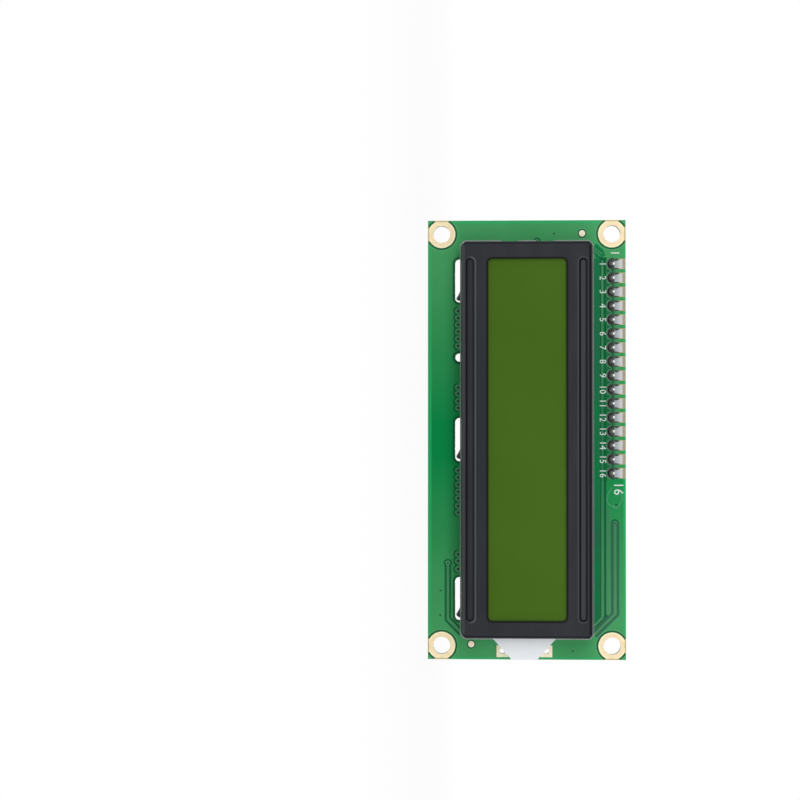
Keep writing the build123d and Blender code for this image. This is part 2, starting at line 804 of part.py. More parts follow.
housing = block(trimmer_x, trimmer_z, trimmer_side, trimmer_side, body_y, trimmer_top)
housing = fillet(housing.edges().filter_by(Axis.Y), trimmer_corner)
for sx in (-1, 1):
    for sz in (-1, 1):
        x = trimmer_x + sx * foot_spread
        z = trimmer_z + sz * foot_spread
        housing += block(x, z, trimmer_foot, trimmer_foot, foot_y, body_y)
housing -= block(trimmer_x, trimmer_z, pocket_side, pocket_side, foot_y, base_back)
housing -= plate(dot(trimmer_x, trimmer_z, chamber), base_back, chamber_back)
housing -= plate(dot(trimmer_x, trimmer_z, bore), base_back, trimmer_top + beyond)
dial_floor = trimmer_top - dial_depth
housing -= plate(dot(trimmer_x, trimmer_z, dial_ring), dial_floor, trimmer_top + beyond)
for i in range(dial_ticks):
    angle = (i - (dial_ticks - 1) / 2) * dial_step
    reach = long_tick_reach if i in (0, (dial_ticks - 1) // 2) else tick_reach
    tick = Rot(0, 0, 90 + angle) * patch(reach / 2, 0, reach, tick_width)
    housing -= plate(Pos(trimmer_x, trimmer_z) * tick, dial_floor, trimmer_top + beyond)
save("trimmer_housing", [housing])

base = block(trimmer_x, trimmer_z, pocket_side, pocket_side, body_y, base_back)
save("trimmer_base", [base])
tail_end = adapter_front - header_tail
tails = [block(x, z, trimmer_lead, trimmer_lead, tail_end, body_y) for x, z in trimmer_leads]
save("trimmer_leads", tails)

rotor = turned(trimmer_x, trimmer_z, [
    (0, flange_front), (rotor_flange / 2, flange_front), (rotor_flange / 2, flange_back),
    (rotor_head / 2, flange_back), (rotor_head / 2, rotor_top), (0, rotor_top),
])
slot_floor = rotor_top - rotor_slot_depth
rotor -= block(trimmer_x, trimmer_z, rotor_flange, rotor_slot, slot_floor, rotor_top + beyond)
rotor -= block(trimmer_x, trimmer_z, rotor_slot, rotor_flange, slot_floor, rotor_top + beyond)
save("trimmer_rotor", [rotor])


# Bus header and jumper header

bus_pins = [bent_pin(bus_x, z, -1, bus_reach) for z in bus_z]
jumper_pins = [bent_pin(jumper_x, z, 1, jumper_reach) for z in jumper_z]
strip_back = adapter_back + strip_height
save("bus_header_pins", bus_pins)
save("jumper_header_pins", jumper_pins)
bus_strip = cell_strip(bus_count, False, bus_x, bus_z[0], adapter_back, strip_back, bus_pins)
save("bus_header_strip", [bus_strip])
jumper_strip = cell_strip(jumper_count, False, jumper_x, jumper_z[0], adapter_back, strip_back, jumper_pins)
save("jumper_header_strip", [jumper_strip])
tail_places = [(bus_x, z) for z in bus_z] + [(jumper_x, z) for z in jumper_z]
save("header_tail_solder", pin_joints(tail_places, adapter_front, -1))


# Jumper cap with its folded clip, which slides off along +X

cap_z = sum(jumper_z) / 2
cap_middle = cap_x + cap_length / 2
cap = Pos(cap_middle, bent_axis, cap_z) * Box(cap_length, cap_thickness, cap_width)
cap = chamfer(cap.edges().filter_by(Axis.X), cap_corner)
far = cap_x + cap_length - cap_step_length / 2
for side in (-1, 1):
    step_y = bent_axis + side * cap_thickness / 2
    cap -= Pos(far, step_y, cap_z) * Box(cap_step_length, 2 * cap_step, cap_width)
clip_half = pin_side / 2 + clip_gap + clip_sheet
cavity = clip_length + cap_wall
cap -= Pos(cap_x + cavity / 2, bent_axis, cap_z) * Box(cavity, 2 * clip_half, clip_width)
window_start = cap_x + cap_length - cap_wall - cap_window_length
window_end = cap_x + cap_length - cap_wall
cap_opening = [
    (window_start, cap_z), (window_start + cap_window / 2, cap_z + cap_window / 2),
    (window_end, cap_z + cap_window / 2), (window_end, cap_z - cap_window / 2),
    (window_start + cap_window / 2, cap_z - cap_window / 2),
]
opening = make_face(Polyline(*cap_opening, close=True))
cap -= plate(opening, bent_axis - cap_thickness, bent_axis + cap_thickness)
save("jumper_cap", [cap])

leaf = pin_side / 2 + clip_gap + clip_sheet / 2
clip_start = cap_x + clip_inset
clip_end = clip_start + clip_length
clip_path = FilletPolyline(
    (clip_start, bent_axis - leaf), (clip_end, bent_axis - leaf),
    (clip_end, bent_axis + leaf), (clip_start, bent_axis + leaf), radius=clip_bend)
clip_plane = Plane(origin=clip_path @ 0, x_dir=(0, 0, 1), z_dir=clip_path % 0)
clip_section = clip_plane * Rectangle(clip_width, clip_sheet)
save("jumper_clip", [Pos(0, 0, cap_z) * sweep(clip_section, path=clip_path)])


# Small parts on the adapter

middles = []
ends = []
for x, z, size, along_x in adapter_chips:
    middle, pair = chip_part(x, z, adapter_pads_back, size, along_x)
    middles.append(middle)
    ends += pair
save("adapter_resistors", middles)
save("adapter_resistor_ends", ends)

for name, (x, z, size, along_x) in (("adapter_capacitor", capacitor), ("power_led", power_led)):
    middle, pair = chip_part(x, z, adapter_pads_back, size, along_x)
    save(name, [middle])
    save(name + "_ends", pair)

body_length, body_width, body_height = transistor_body
body = Pos(transistor_x, adapter_pads_back + transistor_stand, transistor_z) * moulded_body(
    body_length, body_height, body_width, chip_draft)
save("transistor", [body])
rise = transistor_stand + body_height / 2
lead = gull_lead(
    body_width / 2, transistor_span / 2, rise, transistor_foot, lead_width,
    transistor_sheet, transistor_shoulder, transistor_bend)
feet = []
for side, along in transistor_feet:
    turn = Rot(0, -90 * side, 0)
    feet.append(Pos(transistor_x + along, adapter_pads_back, transistor_z) * turn * lead)
save("transistor_leads", feet)

print("parts written:", len(os.listdir("parts")))
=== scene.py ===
import math

import bmesh
import bpy
from mathutils import Matrix, Vector


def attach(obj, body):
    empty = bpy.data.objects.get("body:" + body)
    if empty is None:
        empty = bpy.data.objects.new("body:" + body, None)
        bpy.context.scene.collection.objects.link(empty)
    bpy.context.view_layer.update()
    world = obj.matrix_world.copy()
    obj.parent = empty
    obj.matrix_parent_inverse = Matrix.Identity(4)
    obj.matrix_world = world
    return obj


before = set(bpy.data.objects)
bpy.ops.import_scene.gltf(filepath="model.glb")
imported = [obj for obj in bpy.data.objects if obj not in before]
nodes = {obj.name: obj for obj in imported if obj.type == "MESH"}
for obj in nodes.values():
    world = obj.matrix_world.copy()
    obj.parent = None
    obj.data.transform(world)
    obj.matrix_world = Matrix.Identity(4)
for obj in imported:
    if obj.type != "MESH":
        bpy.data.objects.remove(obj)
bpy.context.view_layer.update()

mm = 0.001

# Places are in millimetres in the module's own frame. A piece is scaled to metres once it is whole.
board = {"halfLength": 40.0, "halfWidth": 18.0, "thick": 1.6, "pad": 0.04, "trim": 0.01}
adapter = {"inner": 4.18, "face": 5.38, "xLow": -33.65, "xHigh": 7.75, "zLow": -1.85, "zHigh": 16.75}
header = {"count": 16, "pitch": 2.54, "firstX": -32.0, "z": 15.5}
lift = {"track": 0.012, "gap": 0.006, "print": 0.022, "via": 0.03}

# A face says where drawing on it starts and which way it stands out.
frontFace = {"y": 0.0, "out": -1}
backFace = {"y": board["thick"], "out": 1}
adapterFace = {"y": adapter["face"], "out": 1}

headerX = [header["firstX"] + header["pitch"] * i for i in range(header["count"])]


# Colours are written as they look, 0 to 255.
def shade(red, green, blue):
    def linear(value):
        value = value / 255.0
        return value / 12.92 if value <= 0.04045 else ((value + 0.055) / 1.055) ** 2.4
    return (linear(red), linear(green), linear(blue), 1.0)


# Materials

# A new shader node, with its inputs set to values or linked from sockets.
def addNode(tree, kind, inputs, **settings):
    added = tree.nodes.new("ShaderNode" + kind)
    for setting, value in settings.items():
        setattr(added, setting, value)
    for entry, value in inputs.items():
        if isinstance(value, bpy.types.NodeSocket):
            tree.links.new(value, added.inputs[entry])
        else:
            added.inputs[entry].default_value = value
    return added


def maths(tree, operation, first, second=0.0):
    return addNode(tree, "Math", {0: first, 1: second}, operation=operation).outputs[0]


# Every finish is mottled in colour, and a finer grain wears and dents it.
def surface(name, colour, other, metal=0.0, gloss=0.25, rough=0.4, wear=0.06, patch=2.0, spread=(0.35, 0.65),
            grain=0.25, bump=0.15, depth=0.01, stretch=(1.0, 1.0, 1.0)):
    material = bpy.data.materials.new(name)
    material.use_nodes = True
    tree = material.node_tree
    shader = tree.nodes["Principled BSDF"]
    shader.inputs["Metallic"].default_value = metal
    shader.inputs["Specular IOR Level"].default_value = gloss
    place = addNode(tree, "TexCoord", {})
    local = addNode(tree, "Mapping", {"Vector": place.outputs["Object"], "Scale": stretch}).outputs["Vector"]
    mottle = addNode(tree, "TexNoise", {"Vector": local, "Scale": 1.0 / (patch * mm), "Detail": 4.0})
    ramp = addNode(tree, "ValToRGB", {"Fac": mottle.outputs["Fac"]})
    for stop, position, tone in zip(ramp.color_ramp.elements, spread, (colour, other)):
        stop.position = position
        stop.color = shade(*tone)
    fine = addNode(tree, "TexNoise", {"Vector": local, "Scale": 1.0 / (grain * mm), "Detail": 3.0}).outputs["Fac"]
    worn = addNode(tree, "MapRange", {"Value": fine, "To Min": rough - wear, "To Max": rough + wear})
    dents = addNode(tree, "Bump", {"Height": fine, "Strength": bump, "Distance": depth * mm})
    tree.links.new(ramp.outputs["Color"], shader.inputs["Base Color"])
    tree.links.new(worn.outputs["Result"], shader.inputs["Roughness"])
    tree.links.new(dents.outputs["Normal"], shader.inputs["Normal"])
    return material


def objectPlace(material):
    return material.node_tree.nodes["Texture Coordinate"].outputs["Object"]


def alongAxis(material, axis):
    return addNode(material.node_tree, "SeparateXYZ", {"Vector": objectPlace(material)}).outputs[axis]


def worked(material, value, *steps):
    for operation, second in steps:
        value = maths(material.node_tree, operation, value, second)
    return value


# From 0 at the start to 1 at the end.
def grown(material, value, start, end):
    limits = {"Value": value, "From Min": start * mm, "From Max": end * mm}
    return addNode(material.node_tree, "MapRange", limits).outputs["Result"]


# How far a value lies inside a band, from 0 outside it to 1 inside.
def within(material, value, middle, half, soft=0.06):
    away = worked(material, value, ("SUBTRACT", middle * mm), ("ABSOLUTE", 0.0))
    return grown(material, away, half + soft, half - soft)


# Distance on the face from an oblong that lies along X, with the middle of its width at middleZ.
def fromOblong(material, middleZ, reachX, reachZ):
    outside = {}
    for axis, middle, reach in (("X", 0.0, reachX), ("Z", middleZ, reachZ)):
        outside[axis] = worked(material, alongAxis(material, axis), ("SUBTRACT", middle * mm), ("ABSOLUTE", 0.0),
                               ("SUBTRACT", reach * mm), ("MAXIMUM", 0.0))
    both = addNode(material.node_tree, "CombineXYZ", outside).outputs["Vector"]
    return addNode(material.node_tree, "VectorMath", {0: both}, operation="LENGTH").outputs["Value"]


# Lays a colour over the one before it, by a share from 0 to 1.
def overlay(material, share, colour):
    tree = material.node_tree
    base = tree.nodes["Principled BSDF"].inputs["Base Color"]
    mix = addNode(tree, "Mix", {0: share, 6: base.links[0].from_socket, 7: colour}, data_type="RGBA")
    tree.links.new(mix.outputs[2], base)
    return material


# Paints a colour where all parts overlap. A part is a share, or a band given by axis, middle, half and softness.
def paint(material, colour, *parts, strength=1.0):
    share = strength
    for part in parts:
        if isinstance(part, tuple):
            part = within(material, alongAxis(material, part[0]), *part[1:])
        share = maths(material.node_tree, "MULTIPLY", part, share)
    return overlay(material, share, shade(*colour))


# Takes another tint where the piece passes from start to end along one of its axes.
def tint(material, axis, start, end, colour):
    return overlay(material, grown(material, alongAxis(material, axis), start, end), shade(*colour))


# The cover's face: painted highlights and painted shade lie along its channels' lips and its bends, and painted shade
# lies round its window. A paint is a colour, its strength and its bands, which run along an axis or at a distance from
# an oblong.
cover = {
    "front": ("Y", -7.1, 1.9),
    "oblongs": {"lower": (-10.17, 31.9, 0.0), "upper": (10.13, 31.9, 0.0), "window": (0.1, 31.75, 6.28)},
    "paints": [
        ((38, 43, 48), 1.0, [("Z", -8.4, 1.1, 0.3), ("X", 0.0, 17.0, 15.0)]),
        ((8, 10, 13), 1.0, [("lower", 0.55, 0.16), ("Z", -11.1, 0.8, 0.2)]),
        ((20, 24, 28), 0.8, [("lower", 0.55, 0.12)]),
        ((84, 89, 92), 1.0, [("lower", 0.94, 0.14), ("Z", -9.2, 0.9, 0.5)]),
        ((58, 61, 65), 1.0, [("upper", 0.0, 0.36)]), ((15, 17, 20), 1.0, [("upper", 0.57, 0.15)]),
        ((68, 72, 76), 0.7, [("upper", 0.92, 0.12)]), ((112, 122, 120), 1.0, [("Z", 12.05, 0.33, 0.03)]),
        ((8, 10, 12), 1.0, [("Z", 11.42, 0.2), ("X", 0.0, 34.9)]),
        ((68, 73, 77), 1.0, [("Z", -11.33, 0.2), ("X", 0.0, 34.9)]),
        ((22, 26, 30), 1.0, [("X", -35.3, 0.12), ("Z", 0.1, 11.3)]),
        ((22, 26, 30), 1.0, [("X", 35.3, 0.12), ("Z", 0.1, 11.3)]), ((12, 16, 14), 1.0, [("window", 0.0, 1.08)]),
    ],
}


def coverPaintedShading(material):
    # Each paint below is painted light or painted shade on the cover's front face.
    away = {name: fromOblong(material, *oblong) for name, oblong in cover["oblongs"].items()}
    for colour, strength, bands in cover["paints"]:
        parts = [within(material, away[band[0]], *band[1:]) if band[0] in away else band for band in bands]
        paint(material, colour, *parts, cover["front"], strength=strength)
    return material


# The trimmer's engraved dial is painted darker blue, as painted shade in its recess, and a white dot in a dark ring
# marks its first lead; the ring is painted as the shade of a dimple.
trimmer = {"top": 10.28, "dial": 10.13, "slot": 9.28, "dotX": -21.75, "dotZ": 6.94,
           "dot": (((22, 40, 84), 0.34), ((238, 242, 246), 0.15))}


def trimmerShadeAndDot(material):
    paint(material, (20, 50, 108), ("Y", trimmer["dial"], 0.03, 0.01))
    for colour, half in trimmer["dot"]:
        paint(material, colour, ("X", trimmer["dotX"], half, 0.08), ("Z", trimmer["dotZ"], half, 0.08),
              ("Y", trimmer["top"], 0.3))
    return material


# A laminate board shows its mask on both faces and bare glass cloth round its edge.
def laminateEdge(material, inner, outer, cloth):
    tree = material.node_tree
    height = alongAxis(material, "Y")
    below = maths(tree, "LESS_THAN", height, (outer - 0.06) * mm)
    edge = maths(tree, "MULTIPLY", grown(material, height, inner + 0.04, inner + 0.08), below)
    plies = addNode(tree, "TexWave", {"Vector": objectPlace(material), "Scale": 0.9 / mm, "Distortion": 1.5},
                    bands_direction="Y")
    weave = addNode(tree, "Mix", {0: plies.outputs["Fac"], 6: shade(*cloth[0]), 7: shade(*cloth[1])}, data_type="RGBA")
    return overlay(material, edge, weave.outputs[2])


# The mask is a deeper green half way along the board and is painted lighter towards its ends, as a painted sheen.
def maskSurface(name, ends, middle):
    material = surface(name, ends, tuple(v + 5 for v in ends), patch=7.0, gloss=0.035, rough=0.45, grain=0.4, bump=0.1)
    fromMiddle = worked(material, alongAxis(material, "X"), ("ABSOLUTE", 0.0))
    return overlay(material, grown(material, fromMiddle, 32.0, 3.0), shade(*middle))


# On the back the mask is bluer over the fine tracks and deepest on the lamp's side.
def backShades(material):
    behind = ("Y", board["thick"], 0.2)
    paint(material, (24, 116, 70), behind)
    paint(material, (30, 108, 76), behind, ("Z", -7.0, 6.2, 1.5), ("X", 0.5, 25.0, 1.5))
    paint(material, (2, 118, 66), behind, ("Z", 14.0, 9.0, 3.0), ("X", 18.0, 26.0, 6.0))
    return paint(material, (62, 146, 86), behind, ("X", -38.0, 2.6, 0.4))


finishes = {
    "green_board": laminateEdge(backShades(maskSurface("greenMask", (70, 160, 98), (2, 142, 74))), 0.0,
        board["thick"], ((120, 150, 96), (158, 166, 112))),
    "black_board": laminateEdge(surface("blackMask", (33, 35, 39), (42, 43, 48), patch=5.0, gloss=0.08,
        rough=0.35, grain=0.5), adapter["inner"], adapter["face"], ((170, 174, 160), (192, 194, 180))),
    "gold_pads": surface("goldPlate", (250, 226, 184), (254, 236, 198), patch=1.2, metal=0.05, gloss=0.1,
        rough=0.42, grain=0.15),
    "black_steel": coverPaintedShading(surface("blackSteel", (40, 42, 47), (46, 48, 53), patch=3.0,
        stretch=(0.25, 1.0, 1.0), gloss=0.08, grain=0.18, bump=0.2, depth=0.012)),
    "display_film": surface("displayFilm", (66, 102, 16), (69, 105, 22), patch=14.0, gloss=0.05, rough=0.3,
        grain=0.6, bump=0.04),
    "glass_pane": surface("cellGlass", (150, 164, 120), (158, 170, 128), patch=6.0, gloss=0.4, rough=0.12,
        grain=1.0, bump=0.02),
    "contact_rubber": surface("zebraRubber", (206, 128, 150), (190, 112, 136), patch=0.2, rough=0.6),
    "guide_acrylic": surface("milkyAcrylic", (226, 230, 236), (232, 235, 240), patch=4.0, gloss=0.3, rough=0.25,
        grain=0.8, bump=0.05),
    "white_film": surface("whiteFilm", (242, 246, 250), (246, 249, 253), patch=5.0, rough=0.5),
    "lamp_plastic": surface("lampPlastic", (222, 220, 190), (230, 228, 200), patch=1.0, rough=0.3),
    "tinned_metal": surface("tinnedBrass", (166, 163, 150), (188, 185, 172), patch=0.5, metal=0.4, gloss=0.4,
        rough=0.3, grain=0.12, bump=0.1),
    "lead_metal": surface("tinnedLeads", (200, 200, 198), (218, 218, 216), patch=0.4, metal=0.3, gloss=0.4,
        rough=0.3, grain=0.12),
    "tinned_pads": surface("tinnedCopper", (172, 172, 172), (192, 191, 190), patch=0.4, metal=0.3, gloss=0.3,
        rough=0.35, grain=0.15),
    "solder": surface("solder", (150, 152, 154), (186, 187, 190), patch=0.35, metal=0.4, gloss=0.5, rough=0.26,
        grain=0.2, bump=0.25, depth=0.02),
    # The joining pins are painted dark, as a painted dark reflection on their ends.
    "front_pin": surface("frontPinEnd", (74, 80, 76), (104, 108, 104), patch=0.3, metal=0.3, gloss=0.3, rough=0.35),
    "epoxy": surface("blackEpoxy", (14, 15, 18), (22, 23, 27), patch=4.0, gloss=0.3, rough=0.3, grain=0.5,
        bump=0.25, depth=0.02),
    "resistor_black": surface("resistorGlaze", (30, 30, 33), (40, 39, 43), patch=0.8, gloss=0.4, rough=0.35),
    "black_plastic": surface("blackNylon", (25, 27, 30), (34, 36, 39), patch=1.5, gloss=0.2, rough=0.42,
        grain=0.15, bump=0.2),
    "chip_plastic": surface("chipMould", (35, 37, 39), (43, 45, 48), patch=1.2, gloss=0.15, rough=0.5, grain=0.1,
        bump=0.3),
    "blue_plastic": trimmerShadeAndDot(surface("blueTrimmer", (34, 88, 168), (40, 96, 176), gloss=0.12, grain=0.3)),
    # The floor of the rotor's cross slot is painted darker, as painted shade.
    "rotor_plastic": paint(surface("rotorPlastic", (140, 142, 144), (154, 156, 158), patch=0.6, gloss=0.3,
        rough=0.35), (74, 75, 78), ("Y", trimmer["slot"], 0.03, 0.01)),
    "clip_brass": surface("clipBrass", (206, 196, 170), (218, 208, 184), patch=0.5, metal=0.8, rough=0.3),
    "capacitor_ceramic": surface("capacitorCeramic", (150, 132, 84), (164, 146, 98), patch=0.5, rough=0.5),
    "led_epoxy": paint(surface("lampEpoxy", (220, 226, 206), (230, 235, 218), patch=0.6, gloss=0.3, rough=0.2),
        (96, 190, 150), ("Z", 4.85, 0.2, 0.05)),
    # The front joints are painted dark below and light above: a painted dark reflection and a painted highlight.
    "front_solder": tint(surface("frontSolderPaintedReflection", (24, 38, 32), (62, 62, 58), patch=0.35, metal=0.3, gloss=0.3,
        rough=0.3, grain=0.2, bump=0.3, depth=0.03), "Z", 15.8, 16.1, (168, 172, 174)),
    # The back joints' solder is painted dark, as a painted dark reflection, with lighter mottling.
    "back_solder": surface("backSolder", (52, 54, 56), (128, 130, 130), patch=0.45, metal=0.4, gloss=0.6,
        rough=0.2, grain=0.2, bump=0.3, depth=0.03),
    # On the front face the header pads are painted dark green round the pins, as painted shade.
    "header_copper": paint(surface("headerCopper", (186, 166, 120), (200, 180, 134), patch=1.0, metal=0.1,
        gloss=0.2), (46, 66, 52), ("Y", 0.0, 0.3), ("Z", 15.4, 1.4, 0.2)),
    "bright_gold": surface("brightGold", (253, 240, 206), (255, 246, 218), patch=0.6, metal=0.05, gloss=0.1),
}

# Which nodes wear each finish. The other nodes are plated gold.
wornBy = {
    "green_board": "main_board", "black_board": "adapter_board", "black_steel": "bezel",
    "display_film": "front_polarizer rear_polarizer", "glass_pane": "front_glass rear_glass",
    "contact_rubber": "contact_strip_upper contact_strip_lower", "guide_acrylic": "light_guide",
    "white_film": "diffuser_film reflector_film", "lamp_plastic": "backlight_lamp", "front_pin": "joining_pins",
    "tinned_metal": "lamp_leads bus_header_pins jumper_header_pins trimmer_leads",
    "lead_metal": "expander_leads transistor_leads", "tinned_pads": "adapter_pads",
    "solder": "lamp_solder solder_bridge header_tail_solder board_resistor_ends adapter_resistor_ends"
              " adapter_capacitor_ends power_led_ends",
    "epoxy": "driver_drop_right driver_drop_left", "resistor_black": "board_resistors adapter_resistors",
    "black_plastic": "joining_strip bus_header_strip jumper_header_strip jumper_cap",
    "chip_plastic": "expander_chip transistor", "blue_plastic": "trimmer_housing trimmer_base",
    "rotor_plastic": "trimmer_rotor", "clip_brass": "jumper_clip", "capacitor_ceramic": "adapter_capacitor",
    "led_epoxy": "power_led", "bright_gold": "lamp_pads alignment_marks", "front_solder": "joining_solder_front",
    "back_solder": "joining_solder_back", "header_copper": "header_pads",
}
nodeFinish = {nodeName: finish for finish, names in wornBy.items() for nodeName in names.split()}
for nodeName, node in nodes.items():
    node.data.materials.clear()
    node.data.materials.append(finishes[nodeFinish.get(nodeName, "gold_pads")])
print("finished", len(nodes), "nodes")


# Shapes

# A whole mesh is scaled to metres and made an object.
def makeObject(name, bm, material):
    bmesh.ops.scale(bm, vec=(mm, mm, mm), verts=bm.verts)
    mesh = bpy.data.meshes.new(name)
    bm.to_mesh(mesh)
    bm.free()
    mesh.materials.append(material)
    made = bpy.data.objects.new(name, mesh)
    bpy.context.scene.collection.objects.link(made)
    return made


def finishPiece(name, bm, material):
    bmesh.ops.recalc_face_normals(bm, faces=bm.faces)
    piece = makeObject(name, bm, material)
    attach(piece, "module")


# A thin block on a face, with its middle at x, z.
def slab(bm, face, x, z, sizeX, sizeZ, high, turn=0.0, foot=0.0):
    middleY = face["y"] + face["out"] * (foot + high) / 2
    place = Matrix.Translation((x, middleY, z)) @ Matrix.Rotation(turn, 4, "Y")
    bmesh.ops.create_cube(bm, size=1.0, matrix=place @ Matrix.Diagonal((sizeX, high - foot, sizeZ, 1.0)))


# A round block on a face.
def disc(bm, face, x, z, radius, high, sides=20, foot=0.0):
    middleY = face["y"] + face["out"] * (foot + high) / 2
    place = Matrix.Translation((x, middleY, z)) @ Matrix.Rotation(math.pi / 2, 4, "X")
    bmesh.ops.create_cone(bm, cap_ends=True, segments=sides, radius1=radius, radius2=radius,
                          depth=high - foot, matrix=place)


# Every drawn line stands a hair higher than the one before, so that none share a plane.
drawn = {"count": 0, "step": 0.0003, "levels": 16}


# A line of one width through its points, mitred at its corners.
def line(bm, face, points, width, high, foot=0.0, closed=False):
    drawn["count"] += 1
    high += drawn["step"] * (1 + drawn["count"] % drawn["levels"])
    low, top = face["y"] + face["out"] * foot, face["y"] + face["out"] * high
    places = [Vector(p) for p in points]
    count = len(places)
    sides = []
    for i, place in enumerate(places):
        before = places[i - 1] if i or closed else None
        after = places[(i + 1) % count] if i < count - 1 or closed else None
        runs = [(b - a).normalized() for a, b in ((before, place), (place, after)) if None not in (a, b)]
        across = sum((Vector((-run.y, run.x)) for run in runs), Vector((0, 0))).normalized()
        sides.append(across * (width / 2 / max(0.35, across.dot(Vector((-runs[0].y, runs[0].x))))))
    rows = [[bm.verts.new((p.x, low, p.y)) for p in (place - side, place + side)]
            for place, side in zip(places, sides)]
    faces = [bm.faces.new((a[0], a[1], b[1], b[0])) for a, b in zip(rows, rows[1:] + rows[:1] * closed)]
    extruded = bmesh.ops.extrude_face_region(bm, geom=faces)
    raised = [v for v in extruded["geom"] if isinstance(v, bmesh.types.BMVert)]
    bmesh.ops.translate(bm, vec=(0, top - low, 0), verts=raised)


# A flat ring, or an arc of one, round x, z.
def ring(bm, face, x, z, inner, outer, high, sides=32, foot=0.0):
    low, top = face["y"] + face["out"] * foot, face["y"] + face["out"] * high
    corners = [bm.verts.new((x + r, y, z)) for r, y in ((inner, low), (outer, low), (outer, top), (inner, top))]
    edges = [bm.edges.new((corners[i], corners[(i + 1) % 4])) for i in range(4)]
    bmesh.ops.spin(bm, geom=corners + edges, cent=(x, 0, z), axis=(0, 1, 0), angle=2 * math.pi, steps=sides,
                   use_merge=True)


def arcPoints(x, z, radius, start, end, steps):
    angles = [math.radians(start + (end - start) * i / steps) for i in range(steps + 1)]
    return [(x + radius * math.cos(a), z + radius * math.sin(a)) for a in angles]


def frameLine(bm, face, x1, z1, x2, z2, width, high):
    line(bm, face, [(x1, z1), (x2, z1), (x2, z2), (x1, z2)], width, high, closed=True)


# Plain numbers, upright with +Z up on either face. A digit stands 0.72 of its font's size.
def numbers(bm, face, words, x, z, tall, high, turn=0.0):
    curve = bpy.data.curves.new("number", "FONT")
    curve.body = words
    curve.size = tall / 0.72
    curve.align_x = "CENTER"
    curve.align_y = "CENTER"
    curve.extrude = high / 2
    curve.resolution_u = 2
    holder = bpy.data.objects.new("number", curve)
    bpy.context.scene.collection.objects.link(holder)
    mesh = bpy.data.meshes.new_from_object(holder)
    side = -face["out"]
    upright = Matrix(((side, 0, 0, x), (0, 0, face["out"], face["y"] + face["out"] * high / 2), (0, 1, 0, z),
                      (0, 0, 0, 1)))
    mesh.transform(upright @ Matrix.Rotation(turn, 4, "Z"))
    bm.from_mesh(mesh)
    bpy.data.objects.remove(holder)
    bpy.data.curves.remove(curve)
    bpy.data.meshes.remove(mesh)


# What is drawn on the boards wears these.
printWhite = surface("printWhite", (222, 233, 226), (232, 240, 235), patch=0.6, gloss=0.15, rough=0.5, grain=0.1)
maskLight = maskSurface("maskOverTrack", (78, 148, 100), (52, 132, 86))
maskRim = maskSurface("maskRim", (92, 166, 114), (80, 154, 112))
maskDark = maskSurface("maskOverGap", (30, 104, 64), (12, 98, 56))
maskDusk = maskSurface("maskBetweenTracks", (56, 110, 84), (40, 104, 74))
maskBare = maskSurface("maskOverLaminate", (56, 172, 104), (30, 174, 102))
backTrackMask = surface("maskOverBackTrack", (70, 142, 96), (82, 152, 104), patch=3.0, gloss=0.05)
maskBackEdge = surface("maskOverBackEdge", (52, 146, 94), (66, 158, 106), patch=5.0, gloss=0.05)
backGapMask = surface("maskOverBackGap", (36, 112, 78), (46, 120, 84), patch=3.0, gloss=0.05)
backPourMask = surface("maskOverPour", (42, 130, 84), (50, 138, 86), patch=3.0, gloss=0.05)
blackTrackMask = surface("maskOverBlackTrack", (58, 60, 66), (66, 68, 74), gloss=0.08, rough=0.35)
adapterCut = surface("adapterCutEdge", (112, 118, 116), (150, 154, 150), patch=1.2, gloss=0.1, rough=0.5)
printGrey = surface("printGrey", (196, 206, 202), (208, 216, 212), patch=0.6, gloss=0.15, rough=0.5)
printDim = surface("printDim", (118, 118, 120), (138, 138, 140), patch=0.3, gloss=0.15, rough=0.5)
maskDeep = surface("maskUnderBezelEdge", (36, 110, 78), (4, 132, 72), patch=14.0, spread=(0.42, 0.6), gloss=0.035,
    rough=0.45)
# A darker mask lies under the numbers; the same colour is painted as shadow round the header's pads and on the mask
# drop.
maskShade = surface("maskUnderNumbersAndShadow", (8, 98, 52), (24, 106, 66), patch=1.6, gloss=0.035, rough=0.45)
viaDark = surface("viaHole", (6, 60, 40), (12, 66, 44), patch=0.5, rough=0.5)
bareSteel = surface("bareSteel", (136, 150, 142), (152, 164, 156), patch=0.4, metal=0.1, gloss=0.2)
plateRim = surface("goldPlateRim", (250, 239, 196), (253, 244, 208), patch=0.8, metal=0.1, gloss=0.15)
cutCopper = surface("cutCopper", (176, 158, 104), (190, 172, 120), patch=0.4, metal=0.3, rough=0.45)
tinnedFront = surface("tinnedFront", (146, 154, 156), (160, 167, 170), patch=0.5, metal=0.15, gloss=0.2,
    rough=0.35, bump=0.4, depth=0.03)
tint(tinnedFront, "Z", 16.3, 17.1, (190, 191, 196))
headerCut = surface("headerCut", (160, 158, 136), (172, 169, 148), patch=0.4, gloss=0.15, rough=0.45)
maskBetweenPads = surface("maskBetweenPads", (28, 100, 66), (38, 110, 74), patch=1.0, gloss=0.05)
tint(maskBetweenPads, "Z", 15.6, 16.3, (76, 152, 102))
tint(maskBetweenPads, "Z", 16.9, 17.3, (50, 160, 82))
# The pins' ends carry a painted highlight.
pinGlint = surface("pinGlint", (250, 252, 252), (236, 240, 240), patch=0.3, gloss=0.5, rough=0.2)
# Dark arcs round the pins are painted shade on the joints.
pinShadowArc = surface("solderPaintedShadow", (38, 50, 44), (62, 62, 60), patch=0.35, metal=0.2, gloss=0.3, rough=0.3)


